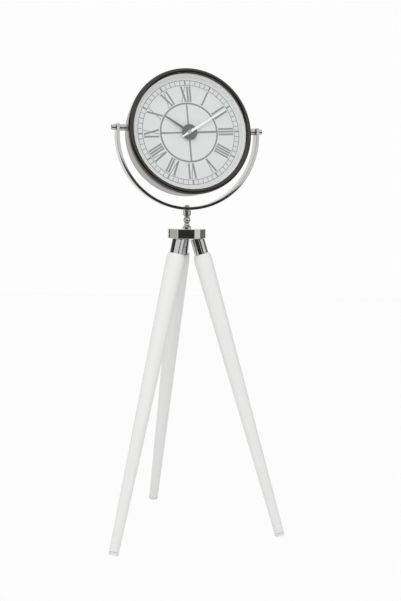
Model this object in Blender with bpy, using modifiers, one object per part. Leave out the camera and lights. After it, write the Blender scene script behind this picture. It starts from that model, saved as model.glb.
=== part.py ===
"""A table clock on a folding tripod. It faces -Y, +Z is up, and it stands on z = 0.

The origin is on the floor, at the middle of the box round the three feet.
"""
import math

import bmesh
import bpy
from mathutils import Vector

# Fits that every piece shares
GAP = 0.0003
OVERRUN = 0.002
MERGE = 0.00001
FINE_STEPS = 48
HUB_STEPS = 36
ROUND_STEPS = 20
SMALL_STEPS = 12

# Tripod: where its legs stand and how they lean
HUB_BOTTOM_HEIGHT = 0.4056
LEG_LEAN = math.radians(16.75)
LEG_FOLD = math.radians(14.0)
LEG_SPACING = 0.00376
LEG_TURNS = {
    "left": math.radians(213.3),
    "right": math.radians(333.3),
    "rear": math.radians(93.3),
}

# Hub disc, the keeper plate under it, and its screws
HUB_MARGIN = 0.0017
HUB_HEIGHT = 0.0128
HUB_EDGE = 0.0007
KEEPER_INSET = 0.0035
KEEPER_THICKNESS = 0.003
KEEPER_SCREW_INSET = 0.010
KEEPER_SCREW_RADIUS = 0.0014
KEEPER_SCREW_HEAD_RADIUS = 0.0026
KEEPER_SCREW_HEAD_HEIGHT = 0.0016
KEEPER_SCREW_LENGTH = 0.0075

# Leg hinges
HINGE_PIN_RADIUS = 0.0015
HINGE_PIN_LENGTH = 0.0186
TONGUE_WIDTH = 0.006
TONGUE_RADIUS = 0.0045

# Legs, from the ferrule down to the floor
FERRULE_RADIUS = 0.0093
FERRULE_END = 0.0269
FERRULE_EDGE = 0.0005
LEG_BOLT_RADIUS = 0.002
LEG_BOLT_IN_FERRULE = 0.013
LEG_BOLT_IN_LEG = 0.020
LEG_TOP_RADIUS = 0.0112
LEG_WIDEST_RADIUS = 0.0122
LEG_SHOULDER_LENGTH = 0.013
LEG_FOOT_RADIUS = 0.0066
LEG_TOP_EDGE = 0.0008
PAD_THICKNESS = 0.004
PAD_EDGE = 0.0006
PAD_SPIGOT_RADIUS = 0.0025
PAD_SPIGOT_LENGTH = 0.006
PAD_FLAT_DEPTH = 0.0006

# Stem: a turned post on one long bolt, on which the yoke swivels
CENTRE_BOLT_RADIUS = 0.002
CENTRE_BOLT_HEAD_RADIUS = 0.0042
CENTRE_BOLT_SOCKET_RADIUS = 0.0018
CENTRE_BOLT_SOCKET_DEPTH = 0.0015
STEM_BASE_RADIUS = 0.0059
STEM_BASE_BAND = 0.002
STEM_BASE_HEIGHT = 0.0064
STEM_WAIST_RADIUS = 0.0032
STEM_BALL_RADIUS = 0.0048
STEM_BALL_HEIGHT = 0.0094
SWIVEL_WASHER_RADIUS = 0.0043
SWIVEL_WASHER_THICKNESS = 0.0008
STEM_NECK_RADIUS = 0.0053
STEM_NECK_HEIGHT = 0.0071
STEM_NECK_EDGE = 0.0005
YOKE_NUT_RADIUS = 0.0038
YOKE_NUT_HEIGHT = 0.0024
YOKE_NUT_ROOF = 0.0006

# Yoke strap and the pivots at its ends
HEAD_TILT = math.radians(9.8)
CENTRE_DROP = 0.0047
YOKE_WIDTH = 0.015
YOKE_THICKNESS = 0.004
YOKE_DROP = 0.008
YOKE_EDGE = 0.0004
YOKE_END_RISE = 0.0048
STUD_RADIUS = 0.002
STUD_FOOT_THICKNESS = 0.0015
STUD_FOOT_HALF_WIDTH = 0.006
STUD_FOOT_BACK = 0.008
SPACER_RADIUS = 0.0045
SPACER_LENGTH = 0.0128
SPACER_FLANGE_RADIUS = 0.0056
SPACER_FLANGE_LENGTH = 0.003
KNOB_RADIUS = 0.0037
KNOB_LENGTH = 0.0060
KNOB_DOME = 0.0012

# Case, measured from the dial's centre: radii, and places forward of the pivot plane
CASE_RADIUS = 0.081
CASE_WALL = 0.0012
CASE_BACK = -0.028
CASE_BACK_ROUND = 0.005
CASE_BACK_RIM = 0.0153
COVER_SEAT_WIDTH = 0.0077
LEDGE_WIDTH = 0.0058
LEDGE_THICKNESS = 0.0012
BEZEL_OVERHANG = 0.0032
BEZEL_LIP = 0.004
BEZEL_SKIRT = 0.0037
BEZEL_LIP_BACK = 0.0005
GLASS_HOLD = 0.0015
GLASS_THICKNESS = 0.002
GLASS_PLAY = 0.0002
DIAL_PLACE = 0.0039
DIAL_THICKNESS = 0.001
DIAL_CLEARANCE = 0.0005
DIAL_TURN = math.radians(-3.2)
RIM_FRONT_WALL = 0.002
RIM_BACK_WALL = 0.0043

# Rear cover
COVER_THICKNESS = 0.0013
COVER_SCREW_INSET = 0.0037
COVER_SCREW_RADIUS = 0.0014
COVER_SCREW_LENGTH = 0.0040
COVER_SCREW_HEAD_RADIUS = 0.0028
COVER_SCREW_HEAD_HEIGHT = 0.0012
COVER_SCREW_TURNS = (math.radians(90.0), math.radians(210.0), math.radians(330.0))
WINDOW_MARGIN = 0.002

# Movement box, measured from the hands' arbor
BOX_TOP = 0.028
BOX_DEPTH = 0.016
BOX_WALL = 0.0015
LID_THICKNESS = 0.0015
BAY_WALL = 0.0012
BUSH_RADIUS = 0.0035
BUSH_BORE_RADIUS = 0.0029
GASKET_RADIUS = 0.009
GASKET_THICKNESS = 0.0013
BUSH_WASHER_RADIUS = 0.0075
BUSH_WASHER_THICKNESS = 0.0004
BUSH_NUT_RADIUS = 0.0052
BUSH_NUT_THICKNESS = 0.0015
BATTERY_RADIUS = 0.0071
BATTERY_LENGTH = 0.0489
BATTERY_NUB_RADIUS = 0.0027
BATTERY_NUB_LENGTH = 0.001
BATTERY_PLAY = 0.00025
CONTACT_THICKNESS = 0.0005
CONTACT_WIDTH = 0.009
CONTACT_HEIGHT = 0.010
COIL_RADIUS = 0.0034
COIL_FLANGE_RADIUS = 0.0042
COIL_FLANGE_THICKNESS = 0.001
COIL_LENGTH = 0.024
COIL_ASIDE = -0.010
COIL_TOP_MARGIN = 0.0018
COIL_RISE = 0.0008
BOARD_MARGIN = 0.001
BOARD_RISE = 0.004
BOARD_WIDTH = 0.011
BOARD_HEIGHT = 0.022
BOARD_THICKNESS = 0.001

# Motion work: a 12:1 pair of meshes on one centre distance
SETTING_DISTANCE = 0.0125
SETTING_TURN = math.radians(45.0)
CANNON_TEETH = 12
MOTION_WHEEL_TEETH = 36
MOTION_PINION_TEETH = 10
HOUR_WHEEL_TEETH = 40
TOOTH_TIP_SHARE = 0.85
TOOTH_ROOT_SHARE = 1.15
TOOTH_WIDTH_SHARES = (0.30, 0.11)
WHEEL_THICKNESS = 0.0012
PINION_THICKNESS = 0.0015
CENTRE_WHEEL_RADIUS = 0.011
CENTRE_WHEEL_CLEARANCE = 0.0015
ARBOR_RADIUS = 0.0013
HOUR_PIPE_RADIUS = 0.0025
HOUR_PIPE_BORE_RADIUS = 0.0017
MOTION_SHAFT_RADIUS = 0.0012
SET_KNOB_RADIUS = 0.005
SET_KNOB_LENGTH = 0.004
SET_KNOB_EDGE = 0.0005
SET_KNOB_ROOF = 0.0007

# Hands, at ten past ten on a dial that sits a little turned in its case
HOUR_HAND_CLEARANCE = 0.0006
HOUR_HAND_THICKNESS = 0.0006
HOUR_HAND_TURN = math.radians(305.0)
HOUR_HAND_DISC_RADIUS = 0.0105
HOUR_HAND_REACH = 0.039
HOUR_HAND_WIDTH = 0.003
HOUR_HAND_TIP_WIDTH = 0.0018
HOUR_HAND_POINT = 0.003
HAND_SPACING = 0.0007
MINUTE_HAND_THICKNESS = 0.0005
MINUTE_HAND_TURN = math.radians(60.8)
MINUTE_HAND_REACH = 0.059
MINUTE_HAND_TAIL = 0.0125
MINUTE_HAND_WIDTH = 0.0054
MINUTE_HAND_NECK_WIDTH = 0.0034
MINUTE_HAND_NECK = 0.012
MINUTE_HAND_TIP_WIDTH = 0.0012
HAND_CAP_RADIUS = 0.0027
HAND_CAP_HEIGHT = 0.0008
HAND_CAP_ROOF = 0.0003
HAND_CAP_CLEARANCE = 0.0001

# Places that follow from the sizes above
LEG_AXIS_RADIUS = FERRULE_RADIUS / math.sin(math.pi / 3) + LEG_SPACING
HUB_RADIUS = LEG_AXIS_RADIUS + FERRULE_RADIUS + HUB_MARGIN
KEEPER_RADIUS = HUB_RADIUS - KEEPER_INSET
KEEPER_SCREW_CIRCLE = HUB_RADIUS - KEEPER_SCREW_INSET
RECESS_DEPTH = KEEPER_THICKNESS + GAP
PIN_RISE = RECESS_DEPTH + HINGE_PIN_RADIUS
PIN_HEIGHT = HUB_BOTTOM_HEIGHT + PIN_RISE
PIN_PLACE_RADIUS = LEG_AXIS_RADIUS - PIN_RISE * math.tan(LEG_LEAN)
LEG_END = (PIN_HEIGHT + PAD_FLAT_DEPTH - LEG_FOOT_RADIUS * math.sin(LEG_LEAN)) / math.cos(LEG_LEAN)
STEM_BASE_LOW = HUB_BOTTOM_HEIGHT + HUB_HEIGHT + GAP
STEM_BALL_LOW = STEM_BASE_LOW + STEM_BASE_HEIGHT + GAP
SWIVEL_WASHER_LOW = STEM_BALL_LOW + STEM_BALL_HEIGHT + GAP
STEM_NECK_LOW = SWIVEL_WASHER_LOW + SWIVEL_WASHER_THICKNESS + GAP
STEM_NECK_HIGH = STEM_NECK_LOW + STEM_NECK_HEIGHT
YOKE_UNDERSIDE = STEM_NECK_HIGH + GAP
YOKE_FLOOR = YOKE_UNDERSIDE + YOKE_THICKNESS
YOKE_INSIDE = CASE_RADIUS + GAP + SPACER_LENGTH + GAP
YOKE_OUTSIDE = YOKE_INSIDE + YOKE_THICKNESS
YOKE_RADIUS = YOKE_INSIDE + YOKE_THICKNESS / 2
ARC_HEIGHT = YOKE_UNDERSIDE + YOKE_OUTSIDE
PIVOT_HEIGHT = ARC_HEIGHT + YOKE_DROP
CASE_INSIDE_RADIUS = CASE_RADIUS - CASE_WALL
LEDGE_RADIUS = CASE_INSIDE_RADIUS - LEDGE_WIDTH
COVER_RADIUS = CASE_RADIUS - CASE_BACK_RIM
CASE_OPENING_RADIUS = COVER_RADIUS - COVER_SEAT_WIDTH
COVER_SCREW_CIRCLE = COVER_RADIUS - COVER_SCREW_INSET
BEZEL_RADIUS = CASE_RADIUS + BEZEL_OVERHANG
BEZEL_INNER_RADIUS = CASE_RADIUS - BEZEL_LIP
GLASS_RADIUS = BEZEL_INNER_RADIUS + GLASS_HOLD
DIAL_RADIUS = CASE_INSIDE_RADIUS - DIAL_CLEARANCE
RIM_FRONT_RADIUS = DIAL_RADIUS - RIM_FRONT_WALL
RIM_BACK_RADIUS = DIAL_RADIUS - RIM_BACK_WALL
DIAL_BACK = DIAL_PLACE - DIAL_THICKNESS
BUSH_FRONT = DIAL_PLACE + GAP + BUSH_WASHER_THICKNESS + GAP + BUSH_NUT_THICKNESS
HOUR_HAND_PLACE = BUSH_FRONT + HOUR_HAND_CLEARANCE
MINUTE_HAND_PLACE = HOUR_HAND_PLACE + HOUR_HAND_THICKNESS + HAND_SPACING
HAND_CAP_PLACE = MINUTE_HAND_PLACE + MINUTE_HAND_THICKNESS + GAP
CASE_FRONT = HAND_CAP_PLACE + HAND_CAP_HEIGHT + HAND_CAP_CLEARANCE
BEZEL_LIP_PLACE = CASE_FRONT + GLASS_PLAY + GLASS_THICKNESS + GAP
BEZEL_ROUND_PLACE = BEZEL_LIP_PLACE - BEZEL_LIP_BACK
BEZEL_BACK = CASE_FRONT - BEZEL_SKIRT
BOX_FRONT = DIAL_BACK - GAP - GASKET_THICKNESS - GAP
BOX_BACK = BOX_FRONT - BOX_DEPTH
BOX_HALF_WIDTH = (BATTERY_LENGTH / 2 + BATTERY_NUB_LENGTH + BATTERY_PLAY + CONTACT_THICKNESS + GAP
                  + BOX_WALL)
BAY_TOP = -CENTRE_WHEEL_RADIUS - CENTRE_WHEEL_CLEARANCE - BAY_WALL
BATTERY_LEVEL = BAY_TOP - GAP - BATTERY_RADIUS
BOX_BOTTOM = BATTERY_LEVEL - BATTERY_RADIUS - GAP - BOX_WALL
BOX_INNER_FRONT = BOX_FRONT - BOX_WALL
SEAT_DEPTH = COVER_THICKNESS + GAP
HOUR_WHEEL_FRONT = BOX_INNER_FRONT - GAP
MOTION_WHEEL_FRONT = HOUR_WHEEL_FRONT - PINION_THICKNESS - GAP
CENTRE_WHEEL_FRONT = MOTION_WHEEL_FRONT - PINION_THICKNESS - GAP
BATTERY_PLACE = BOX_INNER_FRONT - GAP - BATTERY_RADIUS
COIL_PLACE = (COIL_ASIDE, BOX_TOP - BOX_WALL - COIL_TOP_MARGIN - COIL_FLANGE_RADIUS,
              BOX_BACK + LID_THICKNESS + COIL_RISE + COIL_FLANGE_RADIUS)
BOARD_PLACE = (BOX_WALL + BOARD_MARGIN + BOARD_WIDTH / 2 - BOX_HALF_WIDTH, 0,
               BOX_BACK + LID_THICKNESS + BOARD_RISE)


for old_object in list(bpy.data.objects):
    bpy.data.objects.remove(old_object, do_unlink=True)

clock_parts = bpy.data.collections.new("tripod_clock")
cutting_tools = bpy.data.collections.new("cutters")
frames = bpy.data.collections.new("frames")
for collection in (clock_parts, cutting_tools, frames):
    bpy.context.scene.collection.children.link(collection)


def finish(name, colour, metallic, roughness, alpha=1.0):
    """A Principled material of one colour."""
    material = bpy.data.materials.new(name)
    material.use_nodes = True
    shader = material.node_tree.nodes["Principled BSDF"]
    shader.inputs["Base Color"].default_value = (*colour, 1.0)
    shader.inputs["Metallic"].default_value = metallic
    shader.inputs["Roughness"].default_value = roughness
    shader.inputs["Alpha"].default_value = alpha
    return material


CHROME = finish("chrome", (0.55, 0.556, 0.554), 1.0, 0.08)
STEEL = finish("steel", (0.55, 0.55, 0.56), 1.0, 0.35)
BLACK_METAL = finish("black_metal", (0.05, 0.047, 0.045), 0.9, 0.15)
PAINTED_WOOD = finish("painted_wood", (0.86, 0.86, 0.85), 0.0, 0.45)
PALE_PLASTIC = finish("pale_plastic", (0.72, 0.72, 0.71), 0.0, 0.5)
BLACK_PLASTIC = finish("black_plastic", (0.03, 0.03, 0.032), 0.0, 0.5)
PALE_ENAMEL = finish("pale_enamel", (0.76, 0.78, 0.77), 0.0, 0.4)
CLEAR_GLASS = finish("clear_glass", (0.95, 0.97, 0.97), 0.0, 0.02, 0.25)
BRASS = finish("brass", (0.75, 0.58, 0.30), 1.0, 0.3)
RUBBER = finish("rubber", (0.04, 0.04, 0.04), 0.0, 0.8)
COPPER = finish("copper", (0.60, 0.28, 0.16), 1.0, 0.4)
GREEN_BOARD = finish("green_board", (0.05, 0.20, 0.10), 0.0, 0.5)
BATTERY_SLEEVE = finish("battery_sleeve", (0.10, 0.22, 0.45), 0.1, 0.35)


def make_frame(name, parent, place=(0, 0, 0), turn=(0, 0, 0)):
    """An empty that carries pieces and sets their axes."""
    frame = bpy.data.objects.new(name, None)
    frame.parent = parent
    frame.location = place
    frame.rotation_euler = turn
    frames.objects.link(frame)
    return frame


def place_object(name, mesh, material, parent, place, turn):
    """A named piece, or a cutter when it has no material."""
    piece = bpy.data.objects.new(name, mesh)
    piece.parent = parent
    piece.location = place
    piece.rotation_euler = turn
    if material is None:
        piece.hide_render = True
        piece.display_type = "WIRE"
        cutting_tools.objects.link(piece)
    else:
        mesh.materials.append(material)
        clock_parts.objects.link(piece)
    return piece


def turned(name, profile, material, parent, place=(0, 0, 0), turn=(0, 0, 0), steps=ROUND_STEPS):
    """A lathe shape: a profile of (radius, height) points, down its outer side, spun about Z."""
    mesh = bpy.data.meshes.new(name)
    edges = [(index, index + 1) for index in range(len(profile) - 1)]
    if profile[0][0] > 0:
        edges.append((len(profile) - 1, 0))
    mesh.from_pydata([(radius, 0, height) for radius, height in profile], edges, [])
    piece = place_object(name, mesh, material, parent, place, turn)
    screw = piece.modifiers.new("Turn", "SCREW")
    screw.steps = screw.render_steps = steps
    screw.use_merge_vertices = True
    screw.merge_threshold = MERGE
    return piece


def box(name, low, high, material, parent, place=(0, 0, 0), turn=(0, 0, 0)):
    """A box between two corners of its own frame."""
    mesh = bpy.data.meshes.new(name)
    shape = bmesh.new()
    bmesh.ops.create_cube(shape, size=1.0)
    low, high = Vector(low), Vector(high)
    bmesh.ops.scale(shape, vec=high - low, verts=shape.verts)
    bmesh.ops.translate(shape, vec=(low + high) / 2, verts=shape.verts)
    shape.to_mesh(mesh)
    shape.free()
    return place_object(name, mesh, material, parent, place, turn)


def rod(name, radius, low, high, material, parent, place=(0, 0, 0), turn=(0, 0, 0), steps=SMALL_STEPS):
    """A plain round bar along its own Z, from low to high."""
    mesh = bpy.data.meshes.new(name)
    shape = bmesh.new()
    bmesh.ops.create_cone(shape, cap_ends=True, segments=steps, radius1=radius, radius2=radius,
                          depth=high - low)
    bmesh.ops.translate(shape, vec=(0, 0, (low + high) / 2), verts=shape.verts)
    shape.to_mesh(mesh)
    shape.free()
    return place_object(name, mesh, material, parent, place, turn)


def flat(name, outlines, thickness, material, parent, place=(0, 0, 0), turn=(0, 0, 0)):
    """A flat piece cut to closed outlines, its thickness centred on its own XY plane."""
    drawing = bpy.data.curves.new(name, "CURVE")
    drawing.dimensions = "2D"
    drawing.fill_mode = "BOTH"
    drawing.extrude = thickness / 2
    for outline in outlines:
        spline = drawing.splines.new("POLY")
        spline.points.add(len(outline) - 1)
        for point, (x, y) in zip(spline.points, outline):
            point.co = (x, y, 0, 1)
        spline.use_cyclic_u = True
    holder = bpy.data.objects.new(name + "_drawing", drawing)
    frames.objects.link(holder)
    bpy.context.view_layer.update()
    drawn = holder.evaluated_get(bpy.context.evaluated_depsgraph_get())
    mesh = bpy.data.meshes.new_from_object(drawn)
    mesh.name = name
    mesh.materials.clear()
    bpy.data.objects.remove(holder, do_unlink=True)
    shape = bmesh.new()
    shape.from_mesh(mesh)
    bmesh.ops.remove_doubles(shape, verts=shape.verts, dist=MERGE)
    bmesh.ops.recalc_face_normals(shape, faces=shape.faces)
    shape.to_mesh(mesh)
    shape.free()
    return place_object(name, mesh, material, parent, place, turn)


def combine(piece, tool, operation):
    """Cut a tool out of a piece, or join it on."""
    change = piece.modifiers.new(tool.name, "BOOLEAN")
    change.object = tool
    change.operation = operation
    change.solver = "EXACT"


def arc(centre, radius, start, end, count):
    """Points (x, y) along an arc, both ends included."""
    return [(centre[0] + radius * math.cos(start + (end - start) * index / count),
             centre[1] + radius * math.sin(start + (end - start) * index / count))
            for index in range(count + 1)]


def circle(radius, count):
    return arc((0, 0), radius, 0, 2 * math.pi, count)[:-1]


def ring_profile(inner, outer, low, high):
    return [(inner, high), (outer, high), (outer, low), (inner, low)]


def feet_reach(direction):
    """How far the three feet reach from the tripod's axis in one level direction."""
    reaches = []
    for leg_turn in LEG_TURNS.values():
        outward = Vector((math.cos(leg_turn), math.sin(leg_turn), 0))
        down_leg = outward * math.sin(LEG_LEAN) - Vector((0, 0, math.cos(LEG_LEAN)))
        end = outward * PIN_PLACE_RADIUS + down_leg * LEG_END
        spread = LEG_FOOT_RADIUS * math.sqrt(1 - down_leg.dot(direction) ** 2)
        reaches.append(end.dot(direction) + spread)
    return max(reaches)


def make_axis_frame():
    """The tripod's own axis, set back so that the origin is the middle of the feet's box."""
    x_axis, y_axis = Vector((1, 0, 0)), Vector((0, 1, 0))
    return make_frame("tripod_axis", None, (
        (feet_reach(-x_axis) - feet_reach(x_axis)) / 2,
        (feet_reach(-y_axis) - feet_reach(y_axis)) / 2,
        0,
    ))


def leg_slot(side, hub_frame):
    """The space that a leg's tongue needs in the hub and the keeper plate."""
    lean_shift = PIN_RISE * math.tan(LEG_LEAN)
    half_length = TONGUE_RADIUS / math.cos(LEG_LEAN) + lean_shift + GAP
    half_width = TONGUE_WIDTH / 2 + GAP
    return box("slot_" + side,
               (PIN_PLACE_RADIUS - TONGUE_RADIUS - GAP * 4, -half_width, -OVERRUN),
               (PIN_PLACE_RADIUS + half_length, half_width, PIN_RISE + TONGUE_RADIUS + GAP * 2),
               None, hub_frame)


def make_hub(axis_frame):
    hub = turned("hub_disc", [
        (CENTRE_BOLT_RADIUS + GAP, HUB_HEIGHT),
        (HUB_RADIUS - HUB_EDGE, HUB_HEIGHT),
        (HUB_RADIUS, HUB_HEIGHT - HUB_EDGE),
        (HUB_RADIUS, HUB_EDGE),
        (HUB_RADIUS - HUB_EDGE, 0),
        (KEEPER_RADIUS + GAP, 0),
        (KEEPER_RADIUS + GAP, RECESS_DEPTH),
        (CENTRE_BOLT_RADIUS + GAP, RECESS_DEPTH),
    ], CHROME, axis_frame, (0, 0, HUB_BOTTOM_HEIGHT), steps=HUB_STEPS)
    keeper = turned("keeper_plate",
                    ring_profile(CENTRE_BOLT_HEAD_RADIUS + GAP, KEEPER_RADIUS, 0, KEEPER_THICKNESS),
                    STEEL, axis_frame, (0, 0, HUB_BOTTOM_HEIGHT), steps=HUB_STEPS)
    for side, leg_turn in LEG_TURNS.items():
        side_frame = make_frame("hub_" + side, axis_frame, (0, 0, HUB_BOTTOM_HEIGHT), (0, 0, leg_turn))
        slot = leg_slot(side, side_frame)
        combine(hub, slot, "DIFFERENCE")
        combine(keeper, slot, "DIFFERENCE")
        make_hinge_pin(side, side_frame, hub)
        make_keeper_screw(side, side_frame, hub, keeper)


def make_hinge_pin(side, side_frame, hub):
    """A dowel across the leg's slot, in a groove that the keeper plate closes from below."""
    pin_place = (PIN_PLACE_RADIUS, 0, PIN_RISE)
    across = (math.pi / 2, 0, 0)
    half = HINGE_PIN_LENGTH / 2
    rod("hinge_pin_" + side, HINGE_PIN_RADIUS, -half, half, STEEL, side_frame, pin_place, across)
    groove_radius = HINGE_PIN_RADIUS + GAP
    groove = rod("groove_" + side, groove_radius, -half - GAP, half + GAP, None, side_frame,
                 pin_place, across)
    mouth_half = HINGE_PIN_RADIUS + GAP / 2
    mouth = box("groove_mouth_" + side,
                (PIN_PLACE_RADIUS - mouth_half, -half - GAP / 2, RECESS_DEPTH - GAP),
                (PIN_PLACE_RADIUS + mouth_half, half + GAP / 2, PIN_RISE), None, side_frame)
    combine(hub, groove, "DIFFERENCE")
    combine(hub, mouth, "DIFFERENCE")


def make_keeper_screw(side, side_frame, hub, keeper):
    """One of the three flush screws that hold the keeper plate, halfway between two slots."""
    between = math.pi / 3
    screw_place = (KEEPER_SCREW_CIRCLE * math.cos(between), KEEPER_SCREW_CIRCLE * math.sin(between), 0)
    shoulder = GAP + KEEPER_SCREW_HEAD_HEIGHT
    turned("keeper_screw_" + side, [
        (0, KEEPER_SCREW_LENGTH),
        (KEEPER_SCREW_RADIUS, KEEPER_SCREW_LENGTH),
        (KEEPER_SCREW_RADIUS, shoulder),
        (KEEPER_SCREW_HEAD_RADIUS, shoulder),
        (KEEPER_SCREW_HEAD_RADIUS, GAP),
        (0, GAP),
    ], STEEL, side_frame, screw_place, steps=SMALL_STEPS)
    shank_hole = rod("keeper_hole_" + side, KEEPER_SCREW_RADIUS + GAP, -OVERRUN,
                     KEEPER_SCREW_LENGTH + GAP, None, side_frame, screw_place)
    head_hole = rod("keeper_head_hole_" + side, KEEPER_SCREW_HEAD_RADIUS + GAP, -OVERRUN,
                    shoulder + GAP, None, side_frame, screw_place)
    combine(hub, shank_hole, "DIFFERENCE")
    combine(keeper, shank_hole, "DIFFERENCE")
    combine(keeper, head_hole, "DIFFERENCE")


def make_stem(axis_frame):
    """Three turned beads on the centre bolt; only the neck turns with the yoke."""
    bore = CENTRE_BOLT_RADIUS + GAP
    turned("stem_base", [
        (bore, STEM_BASE_LOW + STEM_BASE_HEIGHT),
        (STEM_WAIST_RADIUS, STEM_BASE_LOW + STEM_BASE_HEIGHT),
        (STEM_BASE_RADIUS, STEM_BASE_LOW + STEM_BASE_BAND),
        (STEM_BASE_RADIUS, STEM_BASE_LOW),
        (bore, STEM_BASE_LOW),
    ], CHROME, axis_frame)

    ball_high = STEM_BALL_LOW + STEM_BALL_HEIGHT
    swell = math.acos(STEM_WAIST_RADIUS / STEM_BALL_RADIUS)
    turned("stem_ball", [
        (bore, ball_high),
        (STEM_WAIST_RADIUS, ball_high),
        *arc((0, (STEM_BALL_LOW + ball_high) / 2), STEM_BALL_RADIUS, swell, -swell, 6),
        (STEM_WAIST_RADIUS, STEM_BALL_LOW),
        (bore, STEM_BALL_LOW),
    ], CHROME, axis_frame)

    turned("swivel_washer",
           ring_profile(bore, SWIVEL_WASHER_RADIUS, SWIVEL_WASHER_LOW,
                        SWIVEL_WASHER_LOW + SWIVEL_WASHER_THICKNESS),
           BLACK_PLASTIC, axis_frame)

    turned("stem_neck", [
        (bore, STEM_NECK_HIGH),
        (STEM_NECK_RADIUS, STEM_NECK_HIGH),
        (STEM_NECK_RADIUS, STEM_NECK_LOW + STEM_NECK_EDGE),
        (STEM_NECK_RADIUS - STEM_NECK_EDGE, STEM_NECK_LOW),
        (bore, STEM_NECK_LOW),
    ], CHROME, axis_frame)

    nut_low = YOKE_FLOOR + GAP
    bolt_end = nut_low + YOKE_NUT_HEIGHT - YOKE_NUT_ROOF - GAP
    bolt = turned("centre_bolt", [
        (0, bolt_end),
        (CENTRE_BOLT_RADIUS, bolt_end),
        (CENTRE_BOLT_RADIUS, HUB_BOTTOM_HEIGHT + KEEPER_THICKNESS),
        (CENTRE_BOLT_HEAD_RADIUS, HUB_BOTTOM_HEIGHT + KEEPER_THICKNESS),
        (CENTRE_BOLT_HEAD_RADIUS, HUB_BOTTOM_HEIGHT + GAP),
        (0, HUB_BOTTOM_HEIGHT + GAP),
    ], STEEL, axis_frame, steps=SMALL_STEPS)
    socket = rod("bolt_socket", CENTRE_BOLT_SOCKET_RADIUS, HUB_BOTTOM_HEIGHT - OVERRUN,
                 HUB_BOTTOM_HEIGHT + CENTRE_BOLT_SOCKET_DEPTH, None, axis_frame, steps=6)
    combine(bolt, socket, "DIFFERENCE")

    crown = arc((0, 0), 1.0, math.pi / 2, 0, 4)
    turned("yoke_nut",
           [(x * YOKE_NUT_RADIUS, nut_low + y * YOKE_NUT_HEIGHT) for x, y in crown]
           + [(bore, nut_low), (bore, nut_low + YOKE_NUT_HEIGHT - YOKE_NUT_ROOF),
              (0, nut_low + YOKE_NUT_HEIGHT - YOKE_NUT_ROOF)],
           CHROME, axis_frame, steps=ROUND_STEPS)


def make_leg(side, leg_turn, axis_frame):
    """A leg about its hinge: +Z runs up the leg from the pin, and X points outward."""
    hinge = make_frame("hinge_" + side, make_frame("turn_" + side, axis_frame, turn=(0, 0, leg_turn)),
                       (PIN_PLACE_RADIUS, 0, PIN_HEIGHT), (0, -LEG_LEAN, 0))
    make_ferrule(side, hinge)
    leg_top = -FERRULE_END - GAP
    pad_top = -LEG_END + PAD_THICKNESS
    spigot_bore = PAD_SPIGOT_RADIUS + GAP
    bolt_bore = LEG_BOLT_RADIUS + GAP
    spigot_roof = pad_top + PAD_SPIGOT_LENGTH + GAP * 2
    bolt_floor = leg_top - LEG_BOLT_IN_LEG - GAP
    widest = leg_top - LEG_SHOULDER_LENGTH
    leg = turned("leg_" + side, [
        (0, leg_top),
        (LEG_TOP_RADIUS - LEG_TOP_EDGE, leg_top),
        (LEG_TOP_RADIUS, leg_top - LEG_TOP_EDGE),
        ((LEG_TOP_RADIUS + LEG_WIDEST_RADIUS * 2) / 3, leg_top - LEG_SHOULDER_LENGTH / 2),
        (LEG_WIDEST_RADIUS, widest),
        (LEG_FOOT_RADIUS, pad_top + GAP),
        (spigot_bore, pad_top + GAP),
        (spigot_bore, spigot_roof),
        (0, spigot_roof),
    ], PAINTED_WOOD, hinge)
    bolt_hole = rod("leg_hole_" + side, bolt_bore, bolt_floor, leg_top + OVERRUN, None, hinge)
    combine(leg, bolt_hole, "DIFFERENCE")
    rod("leg_bolt_" + side, LEG_BOLT_RADIUS, leg_top - LEG_BOLT_IN_LEG,
        -FERRULE_END + LEG_BOLT_IN_FERRULE, STEEL, hinge, steps=SMALL_STEPS)
    make_foot_pad(side, hinge, pad_top)


def make_ferrule(side, hinge):
    """A chrome barrel whose tongue hangs on the hinge pin.

    Its top is cut level with the hub for the open leg, and again for the folded one.
    """
    bolt_roof = -FERRULE_END + LEG_BOLT_IN_FERRULE + GAP
    bolt_bore = LEG_BOLT_RADIUS + GAP
    ferrule = turned("ferrule_" + side, [
        (0, 0),
        (FERRULE_RADIUS, 0),
        (FERRULE_RADIUS, -FERRULE_END + FERRULE_EDGE),
        (FERRULE_RADIUS - FERRULE_EDGE, -FERRULE_END),
        (bolt_bore, -FERRULE_END),
        (bolt_bore, bolt_roof),
        (0, bolt_roof),
    ], CHROME, hinge)
    reach = FERRULE_RADIUS + OVERRUN
    for pose, lean in (("open", LEG_LEAN), ("folded", LEG_LEAN - LEG_FOLD)):
        clearing = box("clearing_" + pose + "_" + side, (-reach * 2, -reach, -PIN_RISE - GAP),
                       (reach * 2, reach, reach * 2), None, hinge, turn=(0, lean, 0))
        combine(ferrule, clearing, "DIFFERENCE")
    half_width = TONGUE_WIDTH / 2
    tongue_low = -PIN_RISE - TONGUE_RADIUS - GAP
    blade = box("tongue_" + side, (-TONGUE_RADIUS, -half_width, tongue_low),
                (TONGUE_RADIUS, half_width, 0), None, hinge)
    eye = rod("tongue_eye_" + side, TONGUE_RADIUS, -half_width, half_width, None, hinge,
              turn=(math.pi / 2, 0, 0), steps=ROUND_STEPS)
    pin_hole = rod("pin_hole_" + side, HINGE_PIN_RADIUS + GAP, -half_width - OVERRUN,
                   half_width + OVERRUN, None, hinge, turn=(math.pi / 2, 0, 0))
    combine(ferrule, blade, "UNION")
    combine(ferrule, eye, "UNION")
    combine(ferrule, pin_hole, "DIFFERENCE")


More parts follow.
